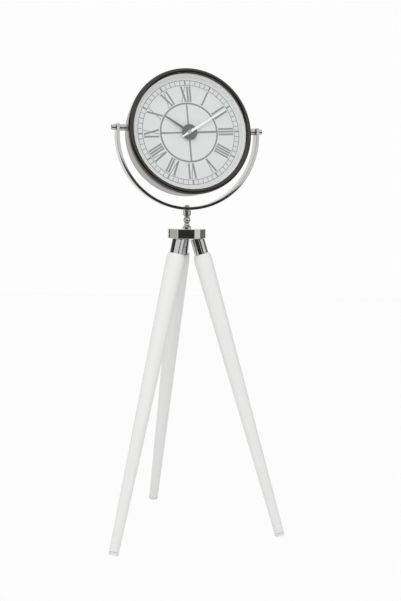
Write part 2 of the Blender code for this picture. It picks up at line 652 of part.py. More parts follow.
def make_foot_pad(side, hinge, pad_top):
    """A plastic glide plugged into the leg, with a small flat worn level with the floor."""
    pad = turned("foot_pad_" + side, [
        (0, pad_top + PAD_SPIGOT_LENGTH),
        (PAD_SPIGOT_RADIUS, pad_top + PAD_SPIGOT_LENGTH),
        (PAD_SPIGOT_RADIUS, pad_top),
        (LEG_FOOT_RADIUS, pad_top),
        (LEG_FOOT_RADIUS, -LEG_END + PAD_EDGE),
        (LEG_FOOT_RADIUS - PAD_EDGE, -LEG_END),
        (0, -LEG_END),
    ], PALE_PLASTIC, hinge)
    reach = LEG_FOOT_RADIUS * 2
    floor_cut = box("floor_cut_" + side, (-reach, -reach, -reach), (reach, reach, 0), None, hinge,
                    (0, 0, -PIN_HEIGHT / math.cos(LEG_LEAN)), (0, LEG_LEAN, 0))
    combine(pad, floor_cut, "DIFFERENCE")


def make_yoke(axis_frame):
    """A flat strap bent to a half circle, with short straight ends."""
    mesh = bpy.data.meshes.new("yoke_strap")
    path = [(-YOKE_RADIUS, PIVOT_HEIGHT + YOKE_END_RISE)]
    path += arc((0, ARC_HEIGHT), YOKE_RADIUS, math.pi, 2 * math.pi, 40)
    path += [(YOKE_RADIUS, PIVOT_HEIGHT + YOKE_END_RISE)]
    shape = bmesh.new()
    corners = [shape.verts.new((x, -YOKE_WIDTH / 2, z)) for x, z in path]
    edges = [shape.edges.new(pair) for pair in zip(corners, corners[1:])]
    swept = bmesh.ops.extrude_edge_only(shape, edges=edges)
    moved = [item for item in swept["geom"] if isinstance(item, bmesh.types.BMVert)]
    bmesh.ops.translate(shape, vec=(0, YOKE_WIDTH, 0), verts=moved)
    bmesh.ops.recalc_face_normals(shape, faces=shape.faces)
    shape.to_mesh(mesh)
    shape.free()
    strap = place_object("yoke_strap", mesh, CHROME, axis_frame, (0, 0, 0), (0, 0, 0))
    wall = strap.modifiers.new("Wall", "SOLIDIFY")
    wall.thickness = YOKE_THICKNESS
    wall.offset = 0
    wall.use_even_offset = True
    edge = strap.modifiers.new("Edge", "BEVEL")
    edge.width = YOKE_EDGE
    edge.segments = 1
    edge.limit_method = "ANGLE"
    edge.angle_limit = math.radians(40)
    stem_hole = rod("stem_hole", CENTRE_BOLT_RADIUS + GAP, YOKE_UNDERSIDE - OVERRUN,
                    YOKE_FLOOR + OVERRUN, None, axis_frame)
    pivot_hole = rod("pivot_hole", STUD_RADIUS + GAP, -YOKE_OUTSIDE - OVERRUN,
                     YOKE_OUTSIDE + OVERRUN, None, axis_frame, (0, 0, PIVOT_HEIGHT),
                     (0, math.pi / 2, 0))
    combine(strap, stem_hole, "DIFFERENCE")
    combine(strap, pivot_hole, "DIFFERENCE")


def make_pivot(side, direction, head_frame):
    """A stud welded to a foot inside the case, its spacer, and the thumb nut outside the yoke."""
    outward = (0, direction * math.pi / 2, 0)
    foot_rise = CENTRE_DROP + STUD_FOOT_HALF_WIDTH
    foot_top = math.sqrt(CASE_INSIDE_RADIUS ** 2 - foot_rise ** 2) - GAP
    foot_low = foot_top - STUD_FOOT_THICKNESS
    knob_low = YOKE_OUTSIDE + GAP
    knob_high = knob_low + KNOB_LENGTH
    stud_end = knob_high - KNOB_DOME - GAP
    stud = rod("pivot_stud_" + side, STUD_RADIUS, foot_low, stud_end, STEEL, head_frame, turn=outward,
               steps=SMALL_STEPS)
    corner_x = sorted((direction * foot_low, direction * foot_top))
    foot_front = DIAL_BACK - GAP - LEDGE_THICKNESS - GAP
    foot = box("stud_foot_" + side, (corner_x[0], -STUD_FOOT_HALF_WIDTH, -STUD_FOOT_BACK),
               (corner_x[1], STUD_FOOT_HALF_WIDTH, foot_front), None, head_frame)
    combine(stud, foot, "UNION")

    bore = STUD_RADIUS + GAP
    spacer_low = CASE_RADIUS + GAP
    spacer_high = spacer_low + SPACER_LENGTH
    turned("pivot_spacer_" + side, [
        (bore, spacer_high),
        (SPACER_RADIUS, spacer_high),
        (SPACER_RADIUS, spacer_low + SPACER_FLANGE_LENGTH),
        (SPACER_FLANGE_RADIUS, spacer_low + SPACER_FLANGE_LENGTH),
        (SPACER_FLANGE_RADIUS, spacer_low),
        (bore, spacer_low),
    ], CHROME, head_frame, turn=outward)

    dome_low = knob_high - KNOB_DOME
    dome = [(KNOB_RADIUS * x, dome_low + KNOB_DOME * y) for x, y in arc((0, 0), 1.0, math.pi / 2, 0, 4)]
    turned("pivot_knob_" + side,
           dome + [(KNOB_RADIUS, knob_low), (bore, knob_low), (bore, dome_low), (0, dome_low)],
           CHROME, head_frame, turn=outward)


def make_case(head_frame, dial_frame):
    """A spun drum, open in front under the bezel and behind under the rear cover."""
    round_centre = (CASE_RADIUS - CASE_BACK_ROUND, CASE_BACK + CASE_BACK_ROUND)
    seat_place = CASE_BACK + SEAT_DEPTH
    flange_inside = seat_place + CASE_WALL
    ledge_front = DIAL_BACK - GAP
    outer_corner = arc(round_centre, CASE_BACK_ROUND, 0, -math.pi / 2, 5)
    inner_corner = arc(round_centre, CASE_BACK_ROUND - CASE_WALL, -math.pi / 2, 0, 3)
    inner_corner = [(x, max(y, flange_inside)) for x, y in inner_corner[1:]]
    case = turned("case_shell", [
        (CASE_INSIDE_RADIUS, CASE_FRONT),
        (CASE_RADIUS, CASE_FRONT),
        *outer_corner,
        (COVER_RADIUS + GAP, CASE_BACK),
        (COVER_RADIUS + GAP, seat_place),
        (CASE_OPENING_RADIUS, seat_place),
        (CASE_OPENING_RADIUS, flange_inside),
        *inner_corner,
        (CASE_INSIDE_RADIUS, ledge_front - LEDGE_THICKNESS),
        (LEDGE_RADIUS, ledge_front - LEDGE_THICKNESS),
        (LEDGE_RADIUS, ledge_front),
        (CASE_INSIDE_RADIUS, ledge_front),
    ], CHROME, dial_frame, steps=FINE_STEPS)
    stud_hole = rod("stud_hole", STUD_RADIUS + GAP, -CASE_RADIUS - OVERRUN, CASE_RADIUS + OVERRUN,
                    None, head_frame, turn=(0, math.pi / 2, 0))
    combine(case, stud_hole, "DIFFERENCE")
    return case


def make_front(dial_frame):
    """Bezel, glass, pale inner rim and dial, in the order they stack from the front."""
    glass_front = BEZEL_LIP_PLACE - GAP
    glass_back = glass_front - GLASS_THICKNESS
    round_radius = (BEZEL_RADIUS - BEZEL_INNER_RADIUS) / 2
    round_centre = (BEZEL_INNER_RADIUS + round_radius, BEZEL_ROUND_PLACE)
    lip_turn = math.pi - math.asin((BEZEL_LIP_PLACE - BEZEL_ROUND_PLACE) / round_radius)
    skirt_radius = CASE_RADIUS + GAP
    turned("bezel", [
        *arc(round_centre, round_radius, lip_turn, 0, 8),
        (BEZEL_RADIUS, BEZEL_BACK),
        (skirt_radius, BEZEL_BACK),
        (skirt_radius, CASE_FRONT + GAP),
        (GLASS_RADIUS + GAP, CASE_FRONT + GAP),
        (GLASS_RADIUS + GAP, BEZEL_LIP_PLACE),
    ], BLACK_METAL, dial_frame, steps=FINE_STEPS)
    turned("glass", [(0, glass_front), (GLASS_RADIUS, glass_front), (GLASS_RADIUS, glass_back),
                     (0, glass_back)], CLEAR_GLASS, dial_frame, steps=FINE_STEPS)
    turned("inner_rim", [
        (RIM_FRONT_RADIUS, glass_back - GAP),
        (DIAL_RADIUS, glass_back - GAP),
        (DIAL_RADIUS, DIAL_PLACE + GAP),
        (RIM_BACK_RADIUS, DIAL_PLACE + GAP),
    ], PALE_ENAMEL, dial_frame, steps=FINE_STEPS)
    turned("dial_plate", ring_profile(BUSH_RADIUS + GAP, DIAL_RADIUS, DIAL_BACK, DIAL_PLACE),
           PALE_ENAMEL, dial_frame, turn=(0, 0, -DIAL_TURN), steps=FINE_STEPS)


def make_rear_cover(dial_frame, case):
    """A plate let into the case's back, with a window over the movement."""
    cover_front = CASE_BACK + COVER_THICKNESS
    cover = turned("rear_cover", [(0, cover_front), (COVER_RADIUS, cover_front),
                                  (COVER_RADIUS, CASE_BACK), (0, CASE_BACK)],
                   BLACK_PLASTIC, dial_frame, steps=FINE_STEPS)
    window = box("window",
                 (-BOX_HALF_WIDTH - WINDOW_MARGIN, BOX_BOTTOM - WINDOW_MARGIN, CASE_BACK - OVERRUN),
                 (BOX_HALF_WIDTH + WINDOW_MARGIN, BOX_TOP + WINDOW_MARGIN, cover_front + OVERRUN),
                 None, dial_frame)
    combine(cover, window, "DIFFERENCE")
    head_front = CASE_BACK - GAP
    for number, screw_turn in enumerate(COVER_SCREW_TURNS, 1):
        screw_place = (COVER_SCREW_CIRCLE * math.cos(screw_turn), COVER_SCREW_CIRCLE * math.sin(screw_turn),
                       0)
        crown = [(x * COVER_SCREW_HEAD_RADIUS, head_front - y * COVER_SCREW_HEAD_HEIGHT)
                 for x, y in arc((0, 0), 1.0, 0, math.pi / 2, 4)]
        turned("cover_screw_%d" % number, [
            (0, head_front + COVER_SCREW_LENGTH),
            (COVER_SCREW_RADIUS, head_front + COVER_SCREW_LENGTH),
            (COVER_SCREW_RADIUS, head_front),
            *crown,
        ], STEEL, dial_frame, screw_place, steps=SMALL_STEPS)
        hole = rod("cover_hole_%d" % number, COVER_SCREW_RADIUS + GAP, CASE_BACK - OVERRUN,
                   head_front + COVER_SCREW_LENGTH + OVERRUN, None, dial_frame, screw_place)
        combine(cover, hole, "DIFFERENCE")
        combine(case, hole, "DIFFERENCE")


def make_movement(dial_frame):
    """The quartz movement's box, its lid, the power and the fixings through the dial."""
    inner_width = BOX_HALF_WIDTH - BOX_WALL
    housing = box("movement_housing", (-BOX_HALF_WIDTH, BOX_BOTTOM, BOX_BACK),
                  (BOX_HALF_WIDTH, BOX_TOP, BOX_FRONT), BLACK_PLASTIC, dial_frame)
    bush = rod("bush", BUSH_RADIUS, BOX_INNER_FRONT, BUSH_FRONT, None, dial_frame, steps=ROUND_STEPS)
    bush_bore = rod("bush_bore", BUSH_BORE_RADIUS, BOX_INNER_FRONT - OVERRUN, BUSH_FRONT + OVERRUN,
                    None, dial_frame, steps=ROUND_STEPS)
    gear_bay = box("gear_bay", (-inner_width, BAY_TOP + BAY_WALL, BOX_BACK - OVERRUN),
                   (inner_width, BOX_TOP - BOX_WALL, BOX_INNER_FRONT), None, dial_frame)
    battery_bay = box("battery_bay", (-inner_width, BOX_BOTTOM + BOX_WALL, BOX_BACK - OVERRUN),
                      (inner_width, BAY_TOP, BOX_INNER_FRONT), None, dial_frame)
    combine(housing, bush, "UNION")
    combine(housing, gear_bay, "DIFFERENCE")
    combine(housing, battery_bay, "DIFFERENCE")
    combine(housing, bush_bore, "DIFFERENCE")

    lid_front = BOX_BACK + LID_THICKNESS
    lid = box("movement_lid", (-inner_width + GAP, BAY_TOP + BAY_WALL + GAP, BOX_BACK),
              (inner_width - GAP, BOX_TOP - BOX_WALL - GAP, lid_front), BLACK_PLASTIC, dial_frame)
    for name, radius, place in (("arbor_bearing", ARBOR_RADIUS, (0, 0, 0)),
                                ("setting_bearing", MOTION_SHAFT_RADIUS, setting_place())):
        bearing = rod(name, radius + GAP, BOX_BACK - OVERRUN, lid_front + OVERRUN, None, dial_frame,
                      place)
        combine(lid, bearing, "DIFFERENCE")
    make_power(dial_frame, inner_width)
    make_dial_fixings(dial_frame)


def setting_place():
    return (SETTING_DISTANCE * math.cos(SETTING_TURN), SETTING_DISTANCE * math.sin(SETTING_TURN), 0)


def make_power(dial_frame, inner_width):
    """Battery, its two contact strips, the coil and the circuit board."""
    battery_low = -BATTERY_LENGTH / 2
    battery_high = BATTERY_LENGTH / 2
    turned("battery", [
        (0, battery_high + BATTERY_NUB_LENGTH),
        (BATTERY_NUB_RADIUS, battery_high + BATTERY_NUB_LENGTH),
        (BATTERY_NUB_RADIUS, battery_high),
        (BATTERY_RADIUS, battery_high),
        (BATTERY_RADIUS, battery_low),
        (0, battery_low),
    ], BATTERY_SLEEVE, dial_frame, (0, BATTERY_LEVEL, BATTERY_PLACE), (0, math.pi / 2, 0))
    for name, direction in (("battery_contact_plus", 1), ("battery_contact_minus", -1)):
        outer = inner_width - GAP
        sides = sorted((direction * outer, direction * (outer - CONTACT_THICKNESS)))
        box(name,
            (sides[0], BATTERY_LEVEL - CONTACT_WIDTH / 2, BATTERY_PLACE - CONTACT_HEIGHT / 2),
            (sides[1], BATTERY_LEVEL + CONTACT_WIDTH / 2, BATTERY_PLACE + CONTACT_HEIGHT / 2),
            BRASS, dial_frame)
    half_coil = COIL_LENGTH / 2
    winding = half_coil - COIL_FLANGE_THICKNESS
    turned("coil", [
        (0, half_coil),
        (COIL_FLANGE_RADIUS, half_coil),
        (COIL_FLANGE_RADIUS, winding),
        (COIL_RADIUS, winding),
        (COIL_RADIUS, -winding),
        (COIL_FLANGE_RADIUS, -winding),
        (COIL_FLANGE_RADIUS, -half_coil),
        (0, -half_coil),
    ], COPPER, dial_frame, COIL_PLACE, (0, math.pi / 2, 0), steps=SMALL_STEPS)
    half_board = Vector((BOARD_WIDTH, BOARD_HEIGHT, BOARD_THICKNESS)) / 2
    box("circuit_board", -half_board, half_board, GREEN_BOARD, dial_frame, BOARD_PLACE)


def make_dial_fixings(dial_frame):
    """Rubber gasket behind the dial, washer and hexagon nut in front of it."""
    bore = BUSH_RADIUS + GAP
    gasket_high = DIAL_BACK - GAP
    washer_low = DIAL_PLACE + GAP
    nut_low = washer_low + BUSH_WASHER_THICKNESS + GAP
    turned("movement_gasket", ring_profile(bore, GASKET_RADIUS, gasket_high - GASKET_THICKNESS, gasket_high),
           RUBBER, dial_frame)
    turned("bush_washer",
           ring_profile(bore, BUSH_WASHER_RADIUS, washer_low, washer_low + BUSH_WASHER_THICKNESS),
           BRASS, dial_frame)
    flat("bush_nut", [circle(BUSH_NUT_RADIUS, 6), circle(bore, SMALL_STEPS)], BUSH_NUT_THICKNESS, BRASS,
         dial_frame, (0, 0, nut_low + BUSH_NUT_THICKNESS / 2))


def gear_outline(teeth, distance, partner_teeth, turn=0.0):
    """A wheel's teeth, thin enough to run clear of its partner at this centre distance."""
    module = 2 * distance / (teeth + partner_teeth)
    pitch_radius = module * teeth / 2
    levels = (pitch_radius - TOOTH_ROOT_SHARE * module, pitch_radius + TOOTH_TIP_SHARE * module)
    step = 2 * math.pi / teeth
    outline = []
    for tooth in range(teeth):
        middle = turn + tooth * step
        rising = [(level, middle - share * step) for level, share in zip(levels, TOOTH_WIDTH_SHARES)]
        falling = [(level, middle + share * step) for level, share in zip(levels, TOOTH_WIDTH_SHARES)]
        for radius, angle in rising + falling[::-1]:
            outline.append((radius * math.cos(angle), radius * math.sin(angle)))
    return outline


def make_hands_work(dial_frame):
    """Hour wheel on its pipe, minute arbor inside it, and the setting wheel beside them."""
    hour_wheel = flat("hour_wheel", [
        gear_outline(HOUR_WHEEL_TEETH, SETTING_DISTANCE, MOTION_PINION_TEETH, SETTING_TURN),
    ], WHEEL_THICKNESS, BRASS, dial_frame, (0, 0, HOUR_WHEEL_FRONT - WHEEL_THICKNESS / 2))
    pipe_low = HOUR_WHEEL_FRONT - WHEEL_THICKNESS / 2
    pipe_high = HOUR_HAND_PLACE + HOUR_HAND_THICKNESS + GAP
    pipe = rod("hour_pipe", HOUR_PIPE_RADIUS, pipe_low, pipe_high, None, dial_frame, steps=ROUND_STEPS)
    pipe_bore = rod("hour_pipe_bore", HOUR_PIPE_BORE_RADIUS, pipe_low - OVERRUN, pipe_high + OVERRUN,
                    None, dial_frame, steps=ROUND_STEPS)
    combine(hour_wheel, pipe, "UNION")
    combine(hour_wheel, pipe_bore, "DIFFERENCE")

    arbor_high = HAND_CAP_PLACE + HAND_CAP_HEIGHT - HAND_CAP_ROOF - GAP
    arbor = turned("minute_arbor", [
        (0, arbor_high),
        (ARBOR_RADIUS, arbor_high),
        (ARBOR_RADIUS, CENTRE_WHEEL_FRONT),
        (CENTRE_WHEEL_RADIUS, CENTRE_WHEEL_FRONT),
        (CENTRE_WHEEL_RADIUS, CENTRE_WHEEL_FRONT - WHEEL_THICKNESS),
        (ARBOR_RADIUS, CENTRE_WHEEL_FRONT - WHEEL_THICKNESS),
        (ARBOR_RADIUS, BOX_BACK + GAP),
        (0, BOX_BACK + GAP),
    ], BRASS, dial_frame)
    cannon_length = MOTION_WHEEL_FRONT - CENTRE_WHEEL_FRONT + WHEEL_THICKNESS / 2
    cannon = flat("cannon_pinion", [
        gear_outline(CANNON_TEETH, SETTING_DISTANCE, MOTION_WHEEL_TEETH, SETTING_TURN),
    ], cannon_length, None, dial_frame, (0, 0, MOTION_WHEEL_FRONT - cannon_length / 2))
    combine(arbor, cannon, "UNION")

    make_setting_wheel(dial_frame)
    make_hands(dial_frame)


def make_setting_wheel(dial_frame):
    """The wheel and pinion between the two hands' wheels, with the knob that sets the time."""
    across = setting_place()
    facing = SETTING_TURN + math.pi
    wheel = flat("setting_wheel", [
        gear_outline(MOTION_WHEEL_TEETH, SETTING_DISTANCE, CANNON_TEETH,
                     facing + math.pi / MOTION_WHEEL_TEETH),
    ], WHEEL_THICKNESS, BRASS, dial_frame,
        (across[0], across[1], MOTION_WHEEL_FRONT - WHEEL_THICKNESS / 2))
    pinion_length = HOUR_WHEEL_FRONT - MOTION_WHEEL_FRONT + WHEEL_THICKNESS / 2
    pinion = flat("setting_pinion", [
        gear_outline(MOTION_PINION_TEETH, SETTING_DISTANCE, HOUR_WHEEL_TEETH,
                     facing + math.pi / MOTION_PINION_TEETH),
    ], pinion_length, None, dial_frame, (across[0], across[1], HOUR_WHEEL_FRONT - pinion_length / 2))
    knob_low = BOX_BACK - GAP - SET_KNOB_LENGTH
    knob_high = BOX_BACK - GAP
    shaft_end = knob_low + SET_KNOB_ROOF + GAP
    shaft = rod("setting_shaft", MOTION_SHAFT_RADIUS, shaft_end, MOTION_WHEEL_FRONT - WHEEL_THICKNESS / 2,
                None, dial_frame, across)
    combine(wheel, pinion, "UNION")
    combine(wheel, shaft, "UNION")
    bore = MOTION_SHAFT_RADIUS + GAP
    turned("set_knob", [
        (bore, knob_high),
        (SET_KNOB_RADIUS, knob_high),
        (SET_KNOB_RADIUS, knob_low + SET_KNOB_EDGE),
        (SET_KNOB_RADIUS - SET_KNOB_EDGE, knob_low),
        (0, knob_low),
        (0, knob_low + SET_KNOB_ROOF),
        (bore, knob_low + SET_KNOB_ROOF),
    ], BLACK_PLASTIC, dial_frame, across)


def make_hands(dial_frame):
    """A slim hour hand on a round disc, and a long minute hand with a short tail."""
    half_width = HOUR_HAND_WIDTH / 2
    half_tip = HOUR_HAND_TIP_WIDTH / 2
    root_turn = math.asin(half_width / HOUR_HAND_DISC_RADIUS)
    disc = arc((0, 0), HOUR_HAND_DISC_RADIUS, math.pi / 2 + root_turn,
               5 * math.pi / 2 - root_turn, 30)
    blade = [(half_tip, HOUR_HAND_REACH - HOUR_HAND_POINT), (0, HOUR_HAND_REACH),
             (-half_tip, HOUR_HAND_REACH - HOUR_HAND_POINT)]
    flat("hour_hand", [disc + blade, circle(HOUR_PIPE_RADIUS + GAP, ROUND_STEPS)], HOUR_HAND_THICKNESS,
         BLACK_METAL, dial_frame, (0, 0, HOUR_HAND_PLACE + HOUR_HAND_THICKNESS / 2),
         (0, 0, -DIAL_TURN - HOUR_HAND_TURN))

    right_side = [
        (MINUTE_HAND_TIP_WIDTH / 2, MINUTE_HAND_REACH),
        (MINUTE_HAND_NECK_WIDTH / 2, MINUTE_HAND_NECK),
        *arc((0, 0), MINUTE_HAND_WIDTH / 2, math.radians(50), math.radians(-50), 6),
        (MINUTE_HAND_NECK_WIDTH / 3, -MINUTE_HAND_TAIL * 2 / 3),
        (MINUTE_HAND_NECK_WIDTH / 4, -MINUTE_HAND_TAIL),
    ]
    left_side = [(-x, y) for x, y in reversed(right_side)]
    flat("minute_hand", [right_side + left_side, circle(ARBOR_RADIUS + GAP, SMALL_STEPS)],
         MINUTE_HAND_THICKNESS, CHROME, dial_frame,
         (0, 0, MINUTE_HAND_PLACE + MINUTE_HAND_THICKNESS / 2),
         (0, 0, -DIAL_TURN - MINUTE_HAND_TURN))

    bore = ARBOR_RADIUS + GAP
    cap_high = HAND_CAP_PLACE + HAND_CAP_HEIGHT
    turned("hand_cap", [
        (0, cap_high),
        (HAND_CAP_RADIUS, cap_high),
        (HAND_CAP_RADIUS, HAND_CAP_PLACE),
        (bore, HAND_CAP_PLACE),
        (bore, cap_high - HAND_CAP_ROOF),
        (0, cap_high - HAND_CAP_ROOF),
    ], CHROME, dial_frame, steps=ROUND_STEPS)


tripod_axis = make_axis_frame()
make_hub(tripod_axis)
make_stem(tripod_axis)
for leg_side, turn_about in LEG_TURNS.items():
    make_leg(leg_side, turn_about, tripod_axis)
make_yoke(tripod_axis)

head = make_frame("head", tripod_axis, (0, 0, PIVOT_HEIGHT), (math.pi / 2 - HEAD_TILT, 0, 0))
dial_centre = make_frame("dial_centre", head, (0, -CENTRE_DROP, 0))
make_pivot("left", -1, head)
make_pivot("right", 1, head)
case_shell = make_case(head, dial_centre)
make_front(dial_centre)
make_rear_cover(dial_centre, case_shell)
make_movement(dial_centre)
make_hands_work(dial_centre)

bpy.context.view_layer.update()
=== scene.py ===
"""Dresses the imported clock: the smooth visible pieces, their finishes, the studio and the camera."""

import math

import bmesh
import bpy
from mathutils import Matrix, Vector


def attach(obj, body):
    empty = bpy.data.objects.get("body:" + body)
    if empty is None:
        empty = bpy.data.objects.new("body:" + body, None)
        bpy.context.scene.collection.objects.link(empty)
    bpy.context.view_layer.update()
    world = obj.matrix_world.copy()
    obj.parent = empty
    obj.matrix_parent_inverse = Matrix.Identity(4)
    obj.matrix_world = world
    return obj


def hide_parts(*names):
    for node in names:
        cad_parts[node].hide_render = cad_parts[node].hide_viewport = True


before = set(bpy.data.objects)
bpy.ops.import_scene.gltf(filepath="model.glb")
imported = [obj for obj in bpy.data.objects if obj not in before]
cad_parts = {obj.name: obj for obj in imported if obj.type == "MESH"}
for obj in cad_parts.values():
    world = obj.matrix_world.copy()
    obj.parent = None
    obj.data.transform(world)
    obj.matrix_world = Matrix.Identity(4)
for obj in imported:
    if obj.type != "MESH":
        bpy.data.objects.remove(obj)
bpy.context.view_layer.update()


# Foot pads.
# Moulded plastic glides, plugged into the narrow ends of the legs and worn flat where they stand.
tripod = Matrix.Translation((-0.003905, -0.030496, 0.0))
leg_lean = math.radians(16.75)
leg_turns = {"left": math.radians(213.3), "right": math.radians(333.3), "rear": math.radians(93.3)}
hinge_from_axis = 0.013054
hinge_height = 0.4104
leg_end = 0.427224
pad_thickness = 0.004
pad_radius = 0.0066
spigot_radius, spigot_end = 0.0025, 0.010


def leg_place(side):
    """The frame of one leg: +Z runs up the leg from its hinge pin, and X points outward."""
    hinge = Matrix.Translation((hinge_from_axis, 0.0, hinge_height))
    return tripod @ Matrix.Rotation(leg_turns[side], 4, "Z") @ hinge @ Matrix.Rotation(-leg_lean, 4, "Y")


def spun(profile, steps=96, closed=False):
    """Spin a side profile of (radius, height) points a full turn about Z."""
    shape = bmesh.new()
    points = [shape.verts.new((radius, 0.0, height)) for radius, height in profile]
    pairs = list(zip(points, points[1:]))
    if closed:
        pairs.append((points[-1], points[0]))
    lines = [shape.edges.new(pair) for pair in pairs]
    bmesh.ops.spin(shape, geom=points + lines, cent=(0, 0, 0), axis=(0, 0, 1), dvec=(0, 0, 0),
                   angle=2 * math.pi, steps=steps, use_merge=True)
    bmesh.ops.remove_doubles(shape, verts=shape.verts, dist=1e-6)
    bmesh.ops.recalc_face_normals(shape, faces=shape.faces)
    return shape


def ring(inner, outer, low, high, steps=96):
    """A turned ring with a square section, or a disc where its inner radius is nothing."""
    return spun([(inner, high), (outer, high), (outer, low), (inner, low)], steps, closed=inner > 0)


def bevel(shape, corners, width, segments, affect="EDGES"):
    """Round off some of a shape's edges or corners."""
    bmesh.ops.bevel(shape, geom=corners, offset=width, offset_type="OFFSET", segments=segments,
                    profile=0.5, affect=affect, clamp_overlap=True, material=-1)


def ease(shape, width, sharper_than=40.0, segments=2):
    """Break the edges where two faces meet at more than an angle in degrees."""
    sharp = [edge for edge in shape.edges if len(edge.link_faces) == 2
             and edge.calc_face_angle(0.0) > math.radians(sharper_than)]
    bevel(shape, sharp, width, segments)


def slice_off(shape, point, outward):
    """Cut a solid shape off at a plane, and close the cut."""
    sliced = bmesh.ops.bisect_plane(shape, geom=shape.verts[:] + shape.edges[:] + shape.faces[:],
                                    plane_co=point, plane_no=outward, clear_outer=True)
    rim = [item for item in sliced["geom_cut"] if isinstance(item, bmesh.types.BMEdge)]
    bmesh.ops.edgeloop_fill(shape, edges=rim)
    bmesh.ops.recalc_face_normals(shape, faces=shape.faces)


def as_object(name, shape):
    """A finished shape as an object in the scene."""
    mesh = bpy.data.meshes.new(name)
    shape.to_mesh(mesh)
    shape.free()
    thing = bpy.data.objects.new(name, mesh)
    bpy.context.scene.collection.objects.link(thing)
    return thing


def fit(name, shape, place, finish, body, replaced=(), smooth_below=35.0):
    """Turn a finished shape into a named piece at its place, riding on a body."""
    shape.transform(place)
    piece = as_object(name, shape)
    piece.data.shade_smooth()
    piece.data.set_sharp_from_angle(angle=math.radians(smooth_below))
    piece.data.materials.append(finish)
    piece.modifiers.new("Even normals", "WEIGHTED_NORMAL").keep_sharp = True
    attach(piece, body)
    if replaced:
        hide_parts(*replaced)


def new_finish(name, metallic=0.0, ior=1.5):
    """A Principled material with its constants set on the shader."""
    material = bpy.data.materials.new(name)
    material.use_nodes = True
    shader = material.node_tree.nodes["Principled BSDF"]
    shader.inputs["Metallic"].default_value = metallic
    shader.inputs["IOR"].default_value = ior
    return material, material.node_tree.nodes, material.node_tree.links, shader


def coordinates(nodes, links, place=Matrix.Identity(4), stretch=(1, 1, 1)):
    """Object coordinates in a piece's own frame, then stretched."""
    texture = nodes.new("ShaderNodeTexCoord")
    turn = nodes.new("ShaderNodeMapping")
    back = place.inverted()
    turn.inputs["Location"].default_value = back.to_translation()
    turn.inputs["Rotation"].default_value = back.to_euler()
    spread = nodes.new("ShaderNodeMapping")
    spread.inputs["Scale"].default_value = stretch
    links.new(texture.outputs["Object"], turn.inputs["Vector"])
    links.new(turn.outputs["Vector"], spread.inputs["Vector"])
    return spread.outputs["Vector"]


def noise(nodes, links, vector, scale, detail=3.0, roughness=0.5):
    """A soft cloud pattern from 0 to 1."""
    texture = nodes.new("ShaderNodeTexNoise")
    texture.inputs["Scale"].default_value = scale
    texture.inputs["Detail"].default_value = detail
    texture.inputs["Roughness"].default_value = roughness
    links.new(vector, texture.inputs["Vector"])
    return texture.outputs["Fac"]


def between(nodes, links, factor, low, high, from_low=0.3, from_high=0.7):
    """Bring a pattern's middle range to the range between two numbers."""
    span = nodes.new("ShaderNodeMapRange")
    for socket, value in zip(("From Min", "From Max", "To Min", "To Max"), (from_low, from_high, low, high)):
        span.inputs[socket].default_value = value
    links.new(factor, span.inputs["Value"])
    return span.outputs["Result"]


def shade(nodes, links, factor, first, second, from_low=0.3, from_high=0.7):
    """Run from one colour to another as a pattern rises."""
    ramp = nodes.new("ShaderNodeValToRGB")
    ramp.color_ramp.elements[0].position, ramp.color_ramp.elements[1].position = from_low, from_high
    ramp.color_ramp.elements[0].color = (*first, 1.0)
    ramp.color_ramp.elements[1].color = (*second, 1.0)
    links.new(factor, ramp.inputs["Fac"])
    return ramp.outputs["Color"]


def surface(nodes, links, shader, pattern, first, second, gloss, low, high):
    """Colour that follows one pattern, and gloss that follows another."""
    links.new(shade(nodes, links, pattern, first, second), shader.inputs["Base Color"])
    links.new(between(nodes, links, gloss, low, high), shader.inputs["Roughness"])


def raise_grain(nodes, links, shader, height, strength, depth):
    """Very fine relief, added to the shapes that the pieces already have."""
    bump = nodes.new("ShaderNodeBump")
    bump.inputs["Strength"].default_value = strength
    bump.inputs["Distance"].default_value = depth
    links.new(height, bump.inputs["Height"])
    links.new(bump.outputs["Normal"], shader.inputs["Normal"])


def moulded(name, first, second, low=0.42, high=0.58, grain=900.0):
    """Moulded plastic: a close even grain, slightly uneven in colour and gloss."""
    material, nodes, links, shader = new_finish(name, ior=1.49)
    vector = coordinates(nodes, links)
    cloud = noise(nodes, links, vector, 45.0, 4.0)
    fine = noise(nodes, links, vector, grain, 2.0)
    surface(nodes, links, shader, cloud, first, second, cloud, low, high)
    raise_grain(nodes, links, shader, fine, 0.35, 0.00004)
    return material


pad_plastic = moulded("foot pad plastic", (0.79, 0.79, 0.78), (0.83, 0.83, 0.82))
for side in leg_turns:
    pad = spun([(0.0, -leg_end), (pad_radius, -leg_end), (pad_radius, -leg_end + pad_thickness),
                (spigot_radius, -leg_end + pad_thickness), (spigot_radius, -leg_end + spigot_end),
                (0.0, -leg_end + spigot_end)], steps=64)
    ease(pad, 0.0003, segments=3)
    pad.transform(leg_place(side))
    slice_off(pad, (0, 0, 0), (0, 0, -1))
    fit("glide_" + side, pad, Matrix.Identity(4), pad_plastic, side + "_leg",
        ["foot_pad_" + side])


# Legs.
# Turned hardwood, a short swelling under the ferrule and then one long straight taper.
# They are sanded and sprayed with white satin paint, which leaves the grain just readable.
leg_top = -0.0272
top_radius, widest_radius = 0.0112, 0.0122
shoulder, taper_start = 0.013, 0.0134
gap = 0.0003


